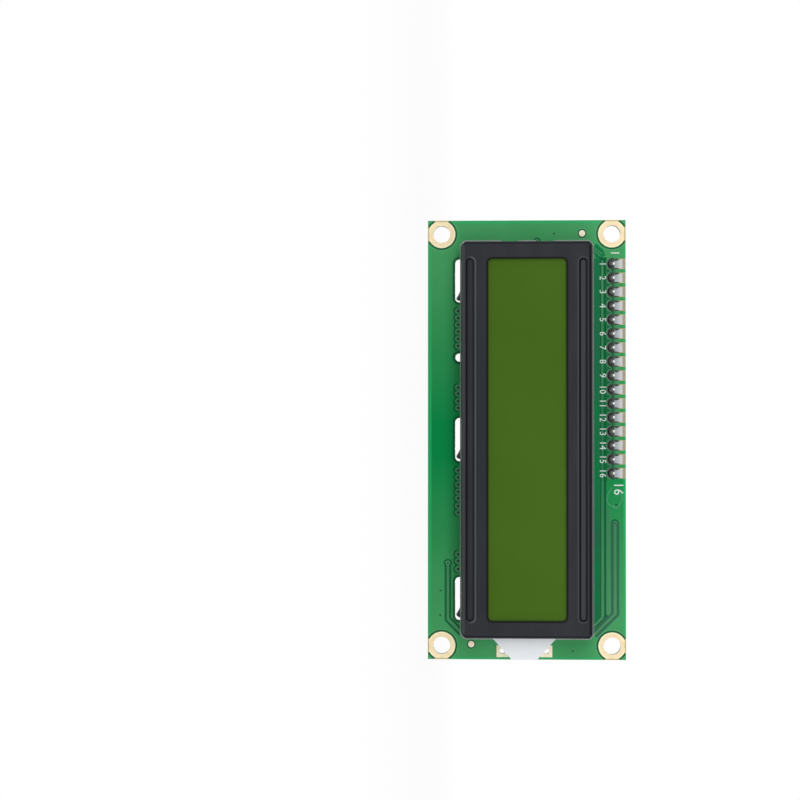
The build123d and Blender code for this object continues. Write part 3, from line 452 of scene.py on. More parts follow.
# What runs past the board is cut off at its edges and closed again.
def trimToBoard(bm):
    for axis, half in ((Vector((1, 0, 0)), board["halfLength"]), (Vector((0, 0, 1)), board["halfWidth"])):
        for side in (-1, 1):
            everything = bm.verts[:] + bm.edges[:] + bm.faces[:]
            bmesh.ops.bisect_plane(bm, geom=everything, plane_co=axis * side * (half - board["trim"]),
                                   plane_no=axis * side, clear_outer=True)
            bmesh.ops.holes_fill(bm, edges=[e for e in bm.edges if e.is_boundary])


# One mesh for each named layer of a drawing.
def makeLayers(*names):
    return {name: bmesh.new() for name in names}


# A run is a layer, the width of its line, the name of its height and its points.
def drawRuns(layers, face, runs):
    for layer, width, level, points in runs:
        line(layers[layer], face, points, width, lift[level])


# A ring is a layer, its two radii, the name of its height, how many sides it has, and its places.
def drawRings(layers, face, rings):
    for layer, inner, outer, level, sides, places in rings:
        for x, z in places:
            ring(layers[layer], face, x, z, inner, outer, lift[level], sides)


# Via holes, as a radius with its places.
def viaHoles(name, face, groups):
    bm = bmesh.new()
    for radius, places in groups:
        for x, z in places:
            disc(bm, face, x, z, radius, lift["via"], 12)
    finishPiece(name, bm, viaDark)


def finishLayers(layers, pieces):
    for layer, (name, material) in pieces.items():
        trimToBoard(layers[layer])
        finishPiece(name, layers[layer], material)


# Bare laminate shows lighter along the edges.
def edgeStrips(name, face, wide, material):
    bm = bmesh.new()
    hl, hw = board["halfLength"] - board["trim"], board["halfWidth"] - board["trim"]
    for side, key in ((-1, "low"), (1, "high")):
        slab(bm, face, 0, side * (hw - wide[key] / 2), 2 * hl, wide[key], lift["gap"])
    for side, key in ((-1, "minusX"), (1, "plusX")):
        slab(bm, face, side * (hl - wide[key] / 2), 0, wide[key], 2 * hw, lift["gap"] * 1.2)
    finishPiece(name, bm, material)


# Front of the board. Places are X and Z.

corners = [(sx * 37.5, sz * 15.5) for sx in (-1, 1) for sz in (-1, 1)]
viaColumn = [(x, -12.5) for x in (23.6, 22.1, 20.9, 13.3, 12.1, 10.7, 9.5, 8.2, 6.9, 5.6, -5.8, -7.0, -8.4, -9.5, -17.1,
                                  -18.4, -19.7, -21.0, -22.2, -23.5)]
front = {
    "edgeWide": {"low": 0.65, "high": 0.43, "minusX": 0.6, "plusX": 0.43}, "marks": [(37.25, -10.1), (-37.6, 10.1)],
    "slotsX": (-29.0, 0.0, 29.0), "slotZ": -12.25, "slotLong": 7.9, "slotWide": 1.6, "slotGap": 0.42,
    "trackVia": [(22.5, -14.36)], "headerVia": [(15.14, 15.99)], "notchVia": [(-36.2, 1.9)],
    "smallVias": [(27.5, -15.7), (31.96, -15.74), (38.44, 8.35), (-37.6, 5.0), (22.5, -14.36), (15.14, 15.99),
                  (-36.2, 1.9)],
}
frontRings = [
    ("dark", 2.45, 2.86, "track", 48, corners), ("rims", 2.86, 3.06, "track", 48, corners),
    ("dark", 0.545, 0.835, "track", 32, front["marks"]), ("rims", 0.835, 0.955, "track", 32, front["marks"]),
    ("rims", 0.26, 0.52, "track", 24, viaColumn), ("dark", 0.8, 1.25, "gap", 28, [(-15.0, front["slotZ"])]),
    ("dark", 0.42, 0.76, "gap", 28, front["trackVia"]), ("rims", 0.2, 0.42, "track", 28, front["trackVia"]),
    ("dark", 0.36, 0.7, "gap", 28, front["headerVia"]), ("rims", 0.2, 0.36, "track", 28, front["headerVia"]),
    ("dark", 0.34, 0.68, "gap", 28, front["notchVia"]), ("rims", 0.2, 0.34, "track", 28, front["notchVia"]),
]


# Clearances are the dark lines where the copper stops round holes, slots and marks.
def frontClearances():
    layers = makeLayers("dark", "rims")
    drawRings(layers, frontFace, frontRings)
    reach = (front["slotLong"] - front["slotWide"]) / 2
    half = front["slotWide"] / 2 + front["slotGap"] / 2
    for x in front["slotsX"]:
        outline = (arcPoints(x + reach, front["slotZ"], half, 0, -90, 6)
                   + arcPoints(x - reach, front["slotZ"], half, -90, -180, 6))
        line(layers["dark"], frontFace, outline, front["slotGap"], lift["track"])
    for x, z in viaColumn:
        line(layers["dark"], frontFace, arcPoints(x, z, 0.74, 190, 350, 8), 0.26, lift["gap"])
    finishLayers(layers, {"dark": ("frontClearances", maskDark), "rims": ("frontClearanceRims", maskRim)})


frontRuns = [
    # Low side, from one via to under the bezel.
    ("light", 0.36, "track", [(22.5, -14.36), (32.8, -14.36), (35.3, -11.86)]),
    ("dark", 0.4, "gap", [(22.9, -14.76), (32.9, -14.76), (35.6, -12.11)]),
    ("dark", 0.36, "gap", [(22.9, -13.94), (32.5, -13.94), (34.6, -11.86)]),
    # High side, from the bezel out to the edge.
    ("deep", 1.16, "gap", [(-33.0, 12.78), (33.0, 12.78)]),
    ("deep", 0.7, "gap", [(33.0, 12.7), (33.6, 12.3)]),
    ("shaded", 1.2, "gap", [(-33.2, 13.95), (7.6, 13.95)]),
    ("light", 0.36, "track", [(-32.6, 13.78), (32.3, 13.78), (33.9, 12.18)]),
    ("dark", 0.42, "gap", [(7.4, 14.24), (32.1, 14.24), (34.1, 12.24)]),
    ("dark", 0.26, "gap", [(7.0, 13.42), (32.3, 13.42)]),
    ("light", 0.62, "gap", [(12.6, 14.82), (31.75, 14.82)]),
    ("dark", 0.52, "gap", [(31.85, 14.62), (34.25, 12.22)]),
    ("dusk", 0.52, "track", [(14.9, 15.52), (31.6, 15.52), (34.9, 12.24)]),
    ("light", 0.44, "track", [(15.14, 16.02), (31.7, 16.02), (35.3, 12.45)]),
    ("dusk", 0.5, "track", [(14.9, 16.55), (31.8, 16.55), (35.8, 12.5)]),
    # Pour behind the header, and the two tracks that leave the bezel's corner.
    ("deep", 0.7, "gap", [(-35.5, 12.4), (-34.4, 13.6), (-33.4, 14.0)]),
    ("deep", 1.1, "gap", [(-35.0, 12.3), (-33.0, 13.3)]),
    ("light", 0.2, "track", [(-34.9, 12.3), (-33.8, 13.8)]),
    ("light", 0.2, "track", [(-34.4, 12.3), (-33.4, 13.5)]),
]
frontPads = {"shadeRadius": 0.98, "shadeWide": 0.34, "rimRadius": 1.22, "rimWide": 0.15, "rimShift": 0.2,
             "betweenZ": 16.3, "betweenLong": 3.38, "padWide": 1.8}


def frontTracks():
    layers = makeLayers("dark", "dusk", "light", "deep", "shaded", "rims", "between")
    drawRuns(layers, frontFace, frontRuns)
    for x in headerX:
        # A painted shadow arc lies round the lower side of each pad.
        shadow = arcPoints(x, header["z"], frontPads["shadeRadius"], 165, 375, 14)
        line(layers["shaded"], frontFace, shadow, frontPads["shadeWide"], lift["gap"])
        edge = arcPoints(x, header["z"] + frontPads["rimShift"], frontPads["rimRadius"], 192, 348, 12)
        line(layers["rims"], frontFace, edge, frontPads["rimWide"], lift["track"])
    for x in headerX[1:]:
        slab(layers["between"], frontFace, x - header["pitch"] / 2, frontPads["betweenZ"],
             header["pitch"] - frontPads["padWide"], frontPads["betweenLong"], lift["gap"] * 0.8)
    finishLayers(layers, {"dark": ("frontGaps", maskDark), "dusk": ("frontGapsWide", maskDusk),
                          "light": ("frontTracks", maskLight), "deep": ("frontGround", maskDeep),
                          "shaded": ("frontShade", maskShade), "rims": ("frontPadRims", maskRim),
                          "between": ("frontBetweenPads", maskBetweenPads)})


# The header's pads are wetted with solder, wider from the pin to near the board's edge.
tin = {"low": 0.02, "high": 0.09, "z": 16.66, "long": 1.46, "outerWide": 1.76, "innerWide": 1.1, "innerShift": 0.12,
       "shadowArcRadius": 0.8, "shadowArcWide": 0.3, "cutZ": 17.73, "cutWide": 1.75, "cutLong": 0.5,
       "glintY": -0.86, "glintZ": 15.76, "glintRadius": 0.27, "glintFlat": 0.6}


def frontHeaderJoints():
    fan, shadowArcs, cut, glint = (bmesh.new() for _ in range(4))
    low, high = tin["low"], tin["high"]
    for x in headerX:
        block = Matrix.Translation((x, -(low + high) / 2, tin["z"]))
        block = block @ Matrix.Diagonal((1.0, high - low, tin["long"], 1.0))
        for corner in bmesh.ops.create_cube(fan, size=1.0, matrix=block)["verts"]:
            outer = corner.co.z > tin["z"]
            shift, wide = (0.0, tin["outerWide"]) if outer else (tin["innerShift"], tin["innerWide"])
            corner.co.x = x + shift + wide * (corner.co.x - x)
        # A dark arc round the lower side of each pin is painted shade.
        arc = arcPoints(x, header["z"], tin["shadowArcRadius"], 165, 375, 14)
        line(shadowArcs, frontFace, arc, tin["shadowArcWide"], high + 0.01, low)
        slab(cut, frontFace, x, tin["cutZ"], tin["cutWide"], tin["cutLong"], high - 0.02, foot=low)
        # A flattened white dome on each pin's end is a painted highlight.
        end = Matrix.Translation((x, tin["glintY"], tin["glintZ"]))
        bmesh.ops.create_uvsphere(glint, u_segments=12, v_segments=8, radius=tin["glintRadius"],
                                  matrix=end @ Matrix.Diagonal((1.0, tin["glintFlat"], 1.0, 1.0)))
    finishPiece("frontHeaderTin", fan, tinnedFront)
    finishPiece("frontHeaderShadowArcs", shadowArcs, pinShadowArc)
    finishPiece("frontHeaderCuts", cut, headerCut)
    finishPiece("frontPinGlints", glint, pinGlint)


# A drop of mask that ran beside the last number.
dropRuns = [
    ("rim", 0.18, "track", [(8.72, 15.48), (9.75, 14.83), (10.77, 14.5), (11.52, 14.73), (12.07, 15.38), (12.3, 15.9)]),
    ("rim", 0.2, "track", [(9.84, 17.15), (10.77, 17.34), (11.6, 17.06), (12.5, 16.27), (11.95, 15.62)]),
    ("shade", 0.3, "gap", [(11.75, 16.05), (11.95, 16.5)]),
]


def maskDrop():
    layers = makeLayers("rim", "shade")
    drawRuns(layers, frontFace, dropRuns)
    finishLayers(layers, {"rim": ("maskDrop", maskRim), "shade": ("maskDropShade", maskShade)})


# Plated rings have a bright rounded rim, and bare copper where the board's edge cuts them.
plating = {"inner": 2.26, "outer": 2.48, "cutInset": 0.13, "cutWide": 0.22, "cutLong": 2.6, "foot": 0.02}


def ringRims():
    rims, cuts = bmesh.new(), bmesh.new()
    top, foot = board["pad"] + 0.012, plating["foot"]
    long, wide = plating["cutLong"], plating["cutWide"]
    for face in (frontFace, backFace):
        for x, z in corners:
            ring(rims, face, x, z, plating["inner"], plating["outer"], top, 48, foot=foot)
            edgeX = math.copysign(board["halfLength"] - plating["cutInset"], x)
            slab(cuts, face, edgeX, z, wide, long, top + 0.01, foot=foot)
            edgeZ = math.copysign(board["halfWidth"] - plating["cutInset"], z)
            slab(cuts, face, x, edgeZ, long, wide, top + 0.01, foot=foot)
    trimToBoard(rims)
    finishPiece("ringRims", rims, plateRim)
    finishPiece("ringCuts", cuts, cutCopper)


# The cover's cut edge shows as a line of bare steel round its foot, broken at the notches in its end.
cutEdge = {"thin": 0.22, "wide": 0.36, "high": 0.2, "corner": 0.75, "halfLength": 36.2, "zLow": -12.03, "zHigh": 12.11,
           "notches": [(-4.6, -1.4), (1.7, 4.9)]}


def bezelCutEdge():
    bm = bmesh.new()
    thin, high, corner, hl = (cutEdge[key] for key in ("thin", "high", "corner", "halfLength"))
    zl, zh = cutEdge["zLow"], cutEdge["zHigh"]
    for z in (zl, zh):
        line(bm, frontFace, [(-hl + corner, z), (hl - corner, z)], thin, high)
    for side, notches in ((-1, cutEdge["notches"]), (1, [])):
        stops = [zl + corner] + [z for notch in notches for z in notch] + [zh - corner]
        for start, end in zip(stops[::2], stops[1::2]):
            line(bm, frontFace, [(side * hl, start), (side * hl, end)], cutEdge["wide"], high)
        for z, inward in ((zl, 1), (zh, -1)):
            diagonal = [(side * (hl + 0.06), z + inward * corner), (side * (hl - corner), z)]
            line(bm, frontFace, diagonal, thin * 1.3, high)
    finishPiece("bezelCutEdge", bm, bareSteel)


# Plain numbers beside the header's pins and at the row's ends.
frontLabels = {"z": 13.8, "tall": 1.2, "ends": [("1", -34.0, 16.0, 1.6), ("16", 8.9, 16.6, 1.75)]}


def frontNumbers():
    bm = bmesh.new()
    pins = [(str(i + 1), x, frontLabels["z"], frontLabels["tall"]) for i, x in enumerate(headerX)]
    for label in pins + frontLabels["ends"]:
        numbers(bm, frontFace, *label, lift["print"])
    finishPiece("frontNumbers", bm, printWhite)


edgeStrips("frontEdgeStrips", frontFace, front["edgeWide"], maskBare)
frontClearances()
viaHoles("frontVias", frontFace, [(0.17, front["smallVias"]), (0.26, viaColumn)])
frontTracks()
frontHeaderJoints()
maskDrop()
ringRims()
bezelCutEdge()
frontNumbers()
print("front of the board drawn")


# Back of the board

back = {
    "edgeWide": {"low": 0.75, "high": 0.35, "minusX": 0.4, "plusX": 0.4},
    "openColumn": [(x, -12.5) for x in (23.6, 22.1, 20.9, 13.3, 12.1, 10.7, 9.5, 8.2, 6.9, 5.6, -18.5, -19.8, -21.1,
                                        -22.3, -23.6)],
    "rows": [(23.3, -7.9 + 1.43 * i) for i in range(4)] + [(22.4, -8.6 + 1.45 * i) for i in range(5)] + [(21.7, -2.0)],
    "cluster": [(22.7, 3.6), (22.7, 5.2), (22.9, 6.5), (21.8, 4.3), (21.8, 5.9), (21.8, 7.3)],
    "topVias": [(33.3, -4.5), (27.7, -4.6), (31.9, -15.9), (27.5, -15.9), (22.4, -14.5), (16.7, -13.3), (36.3, 9.0),
                (32.9, 7.0)],
    "midVias": [(-4.4, -8.9), (-4.5, -4.7), (-5.5, -4.0), (-5.4, -5.5), (1.2, -4.7), (3.2, -4.1), (2.6, -4.9),
                (4.0, -4.9), (1.8, -3.9), (8.9, -4.5)],
    "dropVias": [(-9.5, -8.7), (-10.4, -8.3), (-11.4, -8.0), (-12.4, -7.6), (-13.4, -8.1), (-19.2, -7.6), (-19.2, -6.3),
                 (-19.2, -4.9)],
    "lowVias": [(-34.1, -8.9), (-34.2, -7.7), (-37.6, -8.9)],
    "ringVias": [(-34.6, 9.9), (-35.4, 8.2), (-36.2, 1.8), (-37.7, 4.9)],
    "marks": [(36.1, -10.3), (-37.7, 10.0)],
    "drops": [(13.3, 0.5, 5.25), (-12.9, -0.5, 6.4)],
    "tabX": (-29.0, 0.0, 29.0), "tabHalf": 4.1, "tabZ": ((-11.55, -8.68), (7.83, 10.7)),
    "footprintX": (32.1, 26.45), "footprintZ": (-0.24, 1.06, 2.35, 3.61), "footprintGap": (2.4, 1.02),
    "bodyGap": (29.15, 1.65, 2.3, 5.0), "pairX": (27.55, 28.7, 31.1), "pairZ": (-6.29, -2.77), "pairGap": (1.2, 1.8),
    "squareX": 38.5, "squareZ": (-4.42, 3.58), "squareHalf": 1.15, "leads": [(36.07, -1.69), (36.07, 0.85)],
    "links": [(31.9, 5.53), (29.35, 5.53), (26.9, 5.53)],
}
backRings = [
    ("dark", 2.45, 2.78, "track", 48, corners), ("dark", 0.55, 0.84, "track", 24, back["marks"]),
    ("dark", 1.0, 1.42, "gap", 28, back["leads"]),
    ("rims", 0.24, 0.36, "track", 16, back["rows"][:9] + back["midVias"]),
]
powerRings = [("light", 0.55, 0.7, "track", 24, [(15.1, 16.1)]), ("dark", 0.4, 0.75, "gap", 24, back["ringVias"][:2])]


# Several lines side by side, each moved on from the one before.
def bundle(bm, face, points, width, high, count, stepX, stepZ):
    for i in range(count):
        line(bm, face, [(x + stepX * i, z + stepZ * i) for x, z in points], width, high)


# Two brackets that face each other round a part, with a gap half way along.
def brackets(bm, face, x, z, sizeX, sizeZ, wide, gap, high):
    for side in (-1, 1):
        line(bm, face, [(x + side * gap / 2, z - sizeZ / 2), (x + side * sizeX / 2, z - sizeZ / 2),
                        (x + side * sizeX / 2, z + sizeZ / 2), (x + side * gap / 2, z + sizeZ / 2)], wide, high)


def plus(bm, face, x, z, size, wide, high):
    line(bm, face, [(x - size / 2, z), (x + size / 2, z)], wide, high)
    line(bm, face, [(x, z - size / 2), (x, z + size / 2)], wide, high)


# Two power tracks run down the low side, round the last corner and away to the header.
powerRuns = [
    ("dark", 0.95, "gap", [(23.0, -16.5), (-33.1, -16.5)]),
    ("dark", 0.55, "gap", [(-33.0, -16.5), (-36.5, -12.9), (-36.5, -7.4), (-35.4, -6.4), (-35.4, 2.0)]),
    ("dark", 0.68, "gap", [(24.1, -14.2), (23.0, -15.18), (-32.3, -15.18), (-35.4, -12.3), (-35.4, -8.0),
        (-34.4, -7.1), (-34.4, -0.2)]),
    ("dark", 0.36, "gap", [(22.6, -14.22), (-32.2, -14.22), (-34.5, -11.8), (-34.5, -8.6), (-34.0, -8.1),
        (-29.9, -8.1)]),
    ("dark", 0.3, "gap", [(23.5, -16.3), (25.2, -14.6)]),
    ("light", 0.4, "track", [(24.7, -14.5), (23.4, -15.77), (-32.5, -15.77), (-35.9, -12.5), (-35.9, -7.6),
        (-34.8, -6.6), (-34.8, 1.6)]),
    ("light", 0.33, "track", [(23.4, -13.7), (22.6, -14.62), (-32.4, -14.62), (-35.0, -11.9), (-35.0, -8.3),
        (-34.4, -7.7), (-29.3, -7.7)]),
    ("light", 0.18, "track", [(-34.1, -8.7), (-30.2, -8.7)]),
    ("dark", 0.4, "gap", [(38.2, 6.4), (38.2, 11.1), (34.9, 14.4), (15.0, 14.4)]),
    ("dark", 0.4, "gap", [(36.8, 4.2), (36.8, 11.0), (34.2, 13.6), (7.9, 13.6)]),
    ("light", 0.2, "track", [(37.5, 3.8), (37.5, 11.1), (34.6, 14.0), (25.2, 14.0)]),
    ("dark", 0.4, "gap", [(33.5, 0.6), (34.5, 1.3), (34.5, 4.3), (33.6, 5.4), (33.6, 7.2), (32.9, 7.7)]),
    ("dark", 0.34, "gap", [(30.5, -8.0), (24.8, -8.0), (24.8, -0.6)]),
    ("light", 0.16, "track", [(24.3, -11.9), (24.3, -0.6)]),
    ("light", 0.14, "track", [(14.97, 15.63), (13.15, 14.13), (7.9, 14.13)]),
    ("light", 0.14, "track", [(14.23, 16.37), (13.15, 14.87), (7.9, 14.87)]),
    ("dark", 0.6, "gap", [(14.6, 16.0), (13.15, 14.5), (7.9, 14.5)]),
    ("dark", 0.5, "gap", [(-35.7, 1.1), (-36.7, 1.1), (-36.7, 5.8)]),
    ("dark", 0.5, "gap", [(-35.3, 4.4), (-36.2, 5.4), (-35.6, 8.2)]),
    ("light", 0.3, "track", [(-36.2, 1.8), (-36.2, 5.4)]),
]


def backPowerTracks():
    layers = makeLayers("dark", "light")
    drawRuns(layers, backFace, powerRuns)
    drawRings(layers, backFace, powerRings)
    finishLayers(layers, {"dark": ("backPowerGaps", backGapMask), "light": ("backPowerTracks", backTrackMask)})


# Fine tracks fan out from the drivers to the columns and rows of vias. A bundle is its first track's points, how many
# tracks it has, and their steps along X and Z.
fine = {
    "wide": 0.17,
    "runs": [
        [(13.4, -11.9), (11.2, -9.8), (8.7, -9.8), (5.0, -6.1)],
        [(12.2, -12.1), (10.7, -10.5), (8.7, -10.5), (4.6, -6.4)],
        [(10.8, -11.9), (9.9, -11.1), (8.6, -11.1), (4.3, -6.8)], [(9.1, -12.1), (4.7, -7.7)],
        [(8.4, -12.2), (4.2, -8.0)], [(6.9, -12.3), (6.9, -11.0), (3.9, -8.0)],
        [(5.6, -12.3), (5.6, -10.5), (3.1, -8.1)], [(-5.8, -12.1), (-5.8, -10.0), (-9.2, -6.7)],
        [(-7.0, -12.1), (-7.0, -9.1), (-9.2, -6.9)], [(-8.4, -12.1), (-8.4, -8.4), (-9.8, -7.0)],
        [(-9.5, -12.1), (-9.5, -11.1), (-8.8, -10.4), (-8.8, -8.5), (-10.3, -7.0)],
        [(-17.2, -12.1), (-17.2, -10.8), (-13.6, -7.2)],
        [(-18.5, -12.1), (-18.5, -10.4), (-18.0, -10.0), (-16.6, -10.0), (-13.8, -7.2)],
        [(-19.8, -12.1), (-19.8, -10.3), (-19.4, -10.0)], [(-21.1, -12.1), (-21.1, -9.8)],
        [(-22.3, -12.1), (-22.3, -9.1)], [(-23.6, -12.1), (-23.6, -9.8), (-22.3, -8.5)],
    ],
    "bundles": [
        ([(21.6, -11.7), (19.2, -9.3), (8.7, -9.3), (4.8, -5.3)], 6, 0.265, 0.53),
        ([(22.0, -9.0), (20.4, -7.4), (16.8, -7.4)], 4, 0.0, 0.53), ([(22.7, -0.2), (17.9, -5.0)], 7, 0.0, 0.53),
        ([(19.6, -2.8), (24.8, 2.4), (24.8, 5.1), (22.2, 7.6), (20.9, 7.6)], 6, -0.53, 0.0),
        ([(4.7, -7.2), (-1.0, -1.5)], 8, -0.53, 0.0), ([(0.7, -5.6), (-2.8, -2.1)], 8, -0.53, 0.0),
        ([(-4.9, -9.1), (-5.8, -9.1), (-8.4, -6.4)], 6, 0.2, 0.53), ([(6.6, -6.3), (1.6, -1.9)], 4, 0.2, 0.53),
        ([(-21.8, -9.5), (-16.9, -9.5), (-14.3, -6.9)], 5, -0.265, 0.53),
        ([(20.1, 8.9), (19.2, 8.0), (16.1, 8.0), (15.4, 7.3), (13.9, 7.3)], 2, 0.1, 0.62),
        ([(19.6, 5.9), (18.2, 7.3), (16.6, 6.2)], 3, -0.7, 0.4),
        ([(24.4, 5.6), (21.6, 8.2), (19.6, 8.2)], 2, 0.5, 0.5),
    ],
}


def backFineTracks():
    light = bmesh.new()
    for points in fine["runs"]:
        line(light, backFace, points, fine["wide"], lift["track"])
    for points, count, stepX, stepZ in fine["bundles"]:
        bundle(light, backFace, points, fine["wide"], lift["track"], count, stepX, stepZ)
    finishPiece("backFineTracks", light, backTrackMask)


def backClearances():
    layers = makeLayers("dark", "rims", "pour")
    dark, rims, pour = layers.values()
    gap, track = lift["gap"], lift["track"]
    drawRings(layers, backFace, backRings)
    for x, z in back["openColumn"]:
        line(dark, backFace, arcPoints(x, z, 0.72, 190, 350, 8), 0.22, track)
    for x, z in back["cluster"]:
        line(rims, backFace, arcPoints(x, z, 0.5, 100, 330, 8), 0.13, track)
    for x in back["tabX"]:
        for zLow, zHigh in back["tabZ"]:
            frameLine(dark, backFace, x - back["tabHalf"], zLow, x + back["tabHalf"], zHigh, 0.3, track)
    for x in back["footprintX"]:
        for z in back["footprintZ"]:
            slab(dark, backFace, x, z, *back["footprintGap"], track)
    slab(dark, backFace, *back["bodyGap"], gap)
    for x in back["pairX"]:
        for z in back["pairZ"]:
            slab(dark, backFace, x, z, *back["pairGap"], gap)
    x, half = back["squareX"], back["squareHalf"]
    for z in back["squareZ"]:
        frameLine(dark, backFace, x - half, z - half, x + half, z + half, 0.28, track)
    slab(pour, backFace, 17.0, -11.7, 6.0, 4.0, gap * 0.8)
    line(pour, backFace, [(-35.2, -11.2), (-35.2, -9.2)], 1.2, gap)
    finishLayers(layers, {"dark": ("backClearances", maskDark), "rims": ("backViaRims", backTrackMask),
                          "pour": ("backPours", backPourMask)})


# Brackets are given by place, size, line and gap, and numbers by words, place and height.
backMarks = {
    "brackets": [(-30.6, z, 3.0, 1.78, 0.34, 0.55) for z in (-6.5, -4.1, -1.85)]
                + [(-22.9, z, 3.1, 1.85, 0.36, 0.5) for z in (-6.25, -4.05)] + [(20.4, 12.5, 4.9, 2.35, 0.44, 0.85)],
    "pair": {"middleX": 29.9, "size": (5.3, 2.3, 0.38, 0.75), "barX": 27.55, "bar": (0.95, 2.66), "plusX": 26.15,
             "plusShift": 0.15, "plus": (1.4, 0.22)},
    "chip": [(28.55, 4.3), (27.9, 4.3), (27.9, -0.95), (30.4, -0.95), (30.4, 4.3), (29.75, 4.3)],
    "notch": (29.15, 4.3, 0.6, 350, 190, 8),
    "numbers": [
        ("2", 38.3, -6.9, 1.5), ("1", 38.5, 6.3, 1.5), ("2", 34.1, -6.3, 1.8), ("1", 34.1, -2.7, 1.8),
        ("3", 23.8, 0.1, 1.8), ("8", 24.9, 13.4, 1.8), ("2", 17.1, -5.8, 1.8), ("1", -8.3, -7.0, 1.6),
        ("3", -21.1, -8.7, 1.9), ("1", -26.8, -6.5, 1.8), ("2", -26.8, -4.1, 1.8), ("1", 31.9, 7.35, 1.3),
        ("2", 29.3, 7.35, 1.3), ("3", 26.8, 7.35, 1.3), ("16", 8.6, 16.9, 1.7),
    ],
}


def backPrint():
    bm, grey = bmesh.new(), bmesh.new()
    high = lift["print"]
    for x, z, radius in back["drops"]:
        ring(bm, backFace, x, z, radius - 0.1, radius + 0.36, high, 72)
        ring(bm, backFace, x - 0.28, z - 0.2, radius - 0.2, radius + 0.4, high * 0.9, 72)
    for bracket in backMarks["brackets"]:
        brackets(bm, backFace, *bracket, high)
    pair = backMarks["pair"]
    for z in back["pairZ"]:
        brackets(bm, backFace, pair["middleX"], z, *pair["size"], high)
        slab(grey, backFace, pair["barX"], z, *pair["bar"], high * 1.5)
        plus(bm, backFace, pair["plusX"], z - pair["plusShift"], *pair["plus"], high)
    line(bm, backFace, backMarks["chip"] + arcPoints(*backMarks["notch"]), 0.34, high, closed=True)
    for x, z in back["links"]:
        ring(bm, backFace, x, z, 1.02, 1.34, high, 32)
    for label in backMarks["numbers"]:
        numbers(bm, backFace, *label, high)
    finishPiece("backPrint", bm, printWhite)
    finishPiece("backPolarityBars", grey, printGrey)


# Adapter. Its print sits on the black mask.

once = (0.0,)
uprightX, flatX, linkX = (0.65, -1.9, -4.4), (-3.4, -7.8, -12.3), (-22.1, -24.6, -27.0)
adapterMarks = {
    # A run is the width of its line, whether it is closed, where along X it repeats, and its points.
    "runs": [
        (0.3, False, once, [(7.45, 14.15), (-33.1, 14.15), (-33.1, 16.5)]),
        (0.3, False, once, [(5.83, 5.94), (5.13, 5.94), (5.13, 11.42), (7.5, 11.42)]),
        (0.3, False, once, [(4.25, 4.0), (4.25, 2.28), (2.17, 2.28), (2.17, 4.0)]),
        (0.3, False, once, [(4.25, 4.85)] + arcPoints(3.21, 6.25, 1.04, 0, 180, 10) + [(2.17, 4.85)]),
        (0.28, False, once, [(3.555, 1.4), (4.705, 1.4)]), (0.28, False, once, [(4.13, 0.825), (4.13, 1.975)]),
        (0.27, False, uprightX, [(1.05, 4.5), (1.05, 2.75), (-1.05, 2.75), (-1.05, 6.85), (1.05, 6.85), (1.05, 5.1)]),
        (0.27, False, once, [(-2.35, 9.4), (-2.35, 7.65), (-0.27, 7.65), (-0.27, 11.7), (-2.35, 11.7), (-2.35, 9.95)]),
        (0.27, False, once, [(-2.8, 9.4), (-2.8, 8.2), (-3.4, 7.4), (-4.4, 7.4), (-4.97, 8.2), (-4.97, 11.1),
                             (-4.4, 11.95), (-3.4, 11.95), (-2.8, 11.1), (-2.8, 9.95)]),
        (0.27, False, flatX, [(0.3, -0.8), (1.95, -0.8), (1.95, 1.1), (-1.95, 1.1), (-1.95, -0.8), (-0.3, -0.8)]),
        (0.24, False, once, [(-9.0, 2.4), (-9.0, 12.85), (-16.88, 12.85), (-16.88, 2.4)]),
        (0.26, True, linkX, [(0.66, 2.45), (0.66, 0.1), (0.0, -0.4), (-0.66, 0.1), (-0.66, 2.45)]),
        (0.3, True, once, [(-27.9, 4.9), (-20.3, 4.9), (-20.3, 12.5), (-27.9, 12.5)]),
        (0.3, False, once, [(-33.1, 2.28), (-30.67, 2.28), (-30.67, 12.78), (-33.1, 12.78), (-33.1, 12.25)]),
        (0.26, False, once, [(2.9, 11.45), (3.6, 11.45), (3.6, 10.35), (1.05, 10.35), (1.05, 11.45), (1.8, 11.45)]),
        (0.26, False, once, [(2.3, 10.8), (2.3, 11.5)]),
    ],
    "numbers": [("0", -22.1, -1.15, 1.0), ("1", -24.6, -1.15, 1.0), ("2", -27.0, -1.15, 1.0), ("2", 5.9, 12.75, 1.3),
                ("1", -29.45, 3.55, 1.25), ("2", -29.45, 6.09, 1.25), ("3", -29.45, 8.63, 1.25),
                ("4", -29.45, 11.17, 1.25)],
    "tracks": [
        ([(-17.8, 2.3), (-20.6, 2.3), (-23.6, 4.7)], 0.2, 3, -0.1, 0.5),
        ([(-6.0, 12.6), (-3.5, 12.6), (1.8, 13.6)], 0.18, 2, -1.2, 0.1),
        ([(-14.5, -0.9), (-18.0, -0.9), (-20.0, 0.6)], 0.2, 2, -0.4, 0.5),
    ],
}


def adapterPrint():
    bm = bmesh.new()
    for width, closed, middles, points in adapterMarks["runs"]:
        for middle in middles:
            line(bm, adapterFace, [(middle + x, z) for x, z in points], width, lift["print"], closed=closed)
    for label in adapterMarks["numbers"]:
        numbers(bm, adapterFace, *label, lift["print"])
    finishPiece("adapterPrint", bm, printWhite)


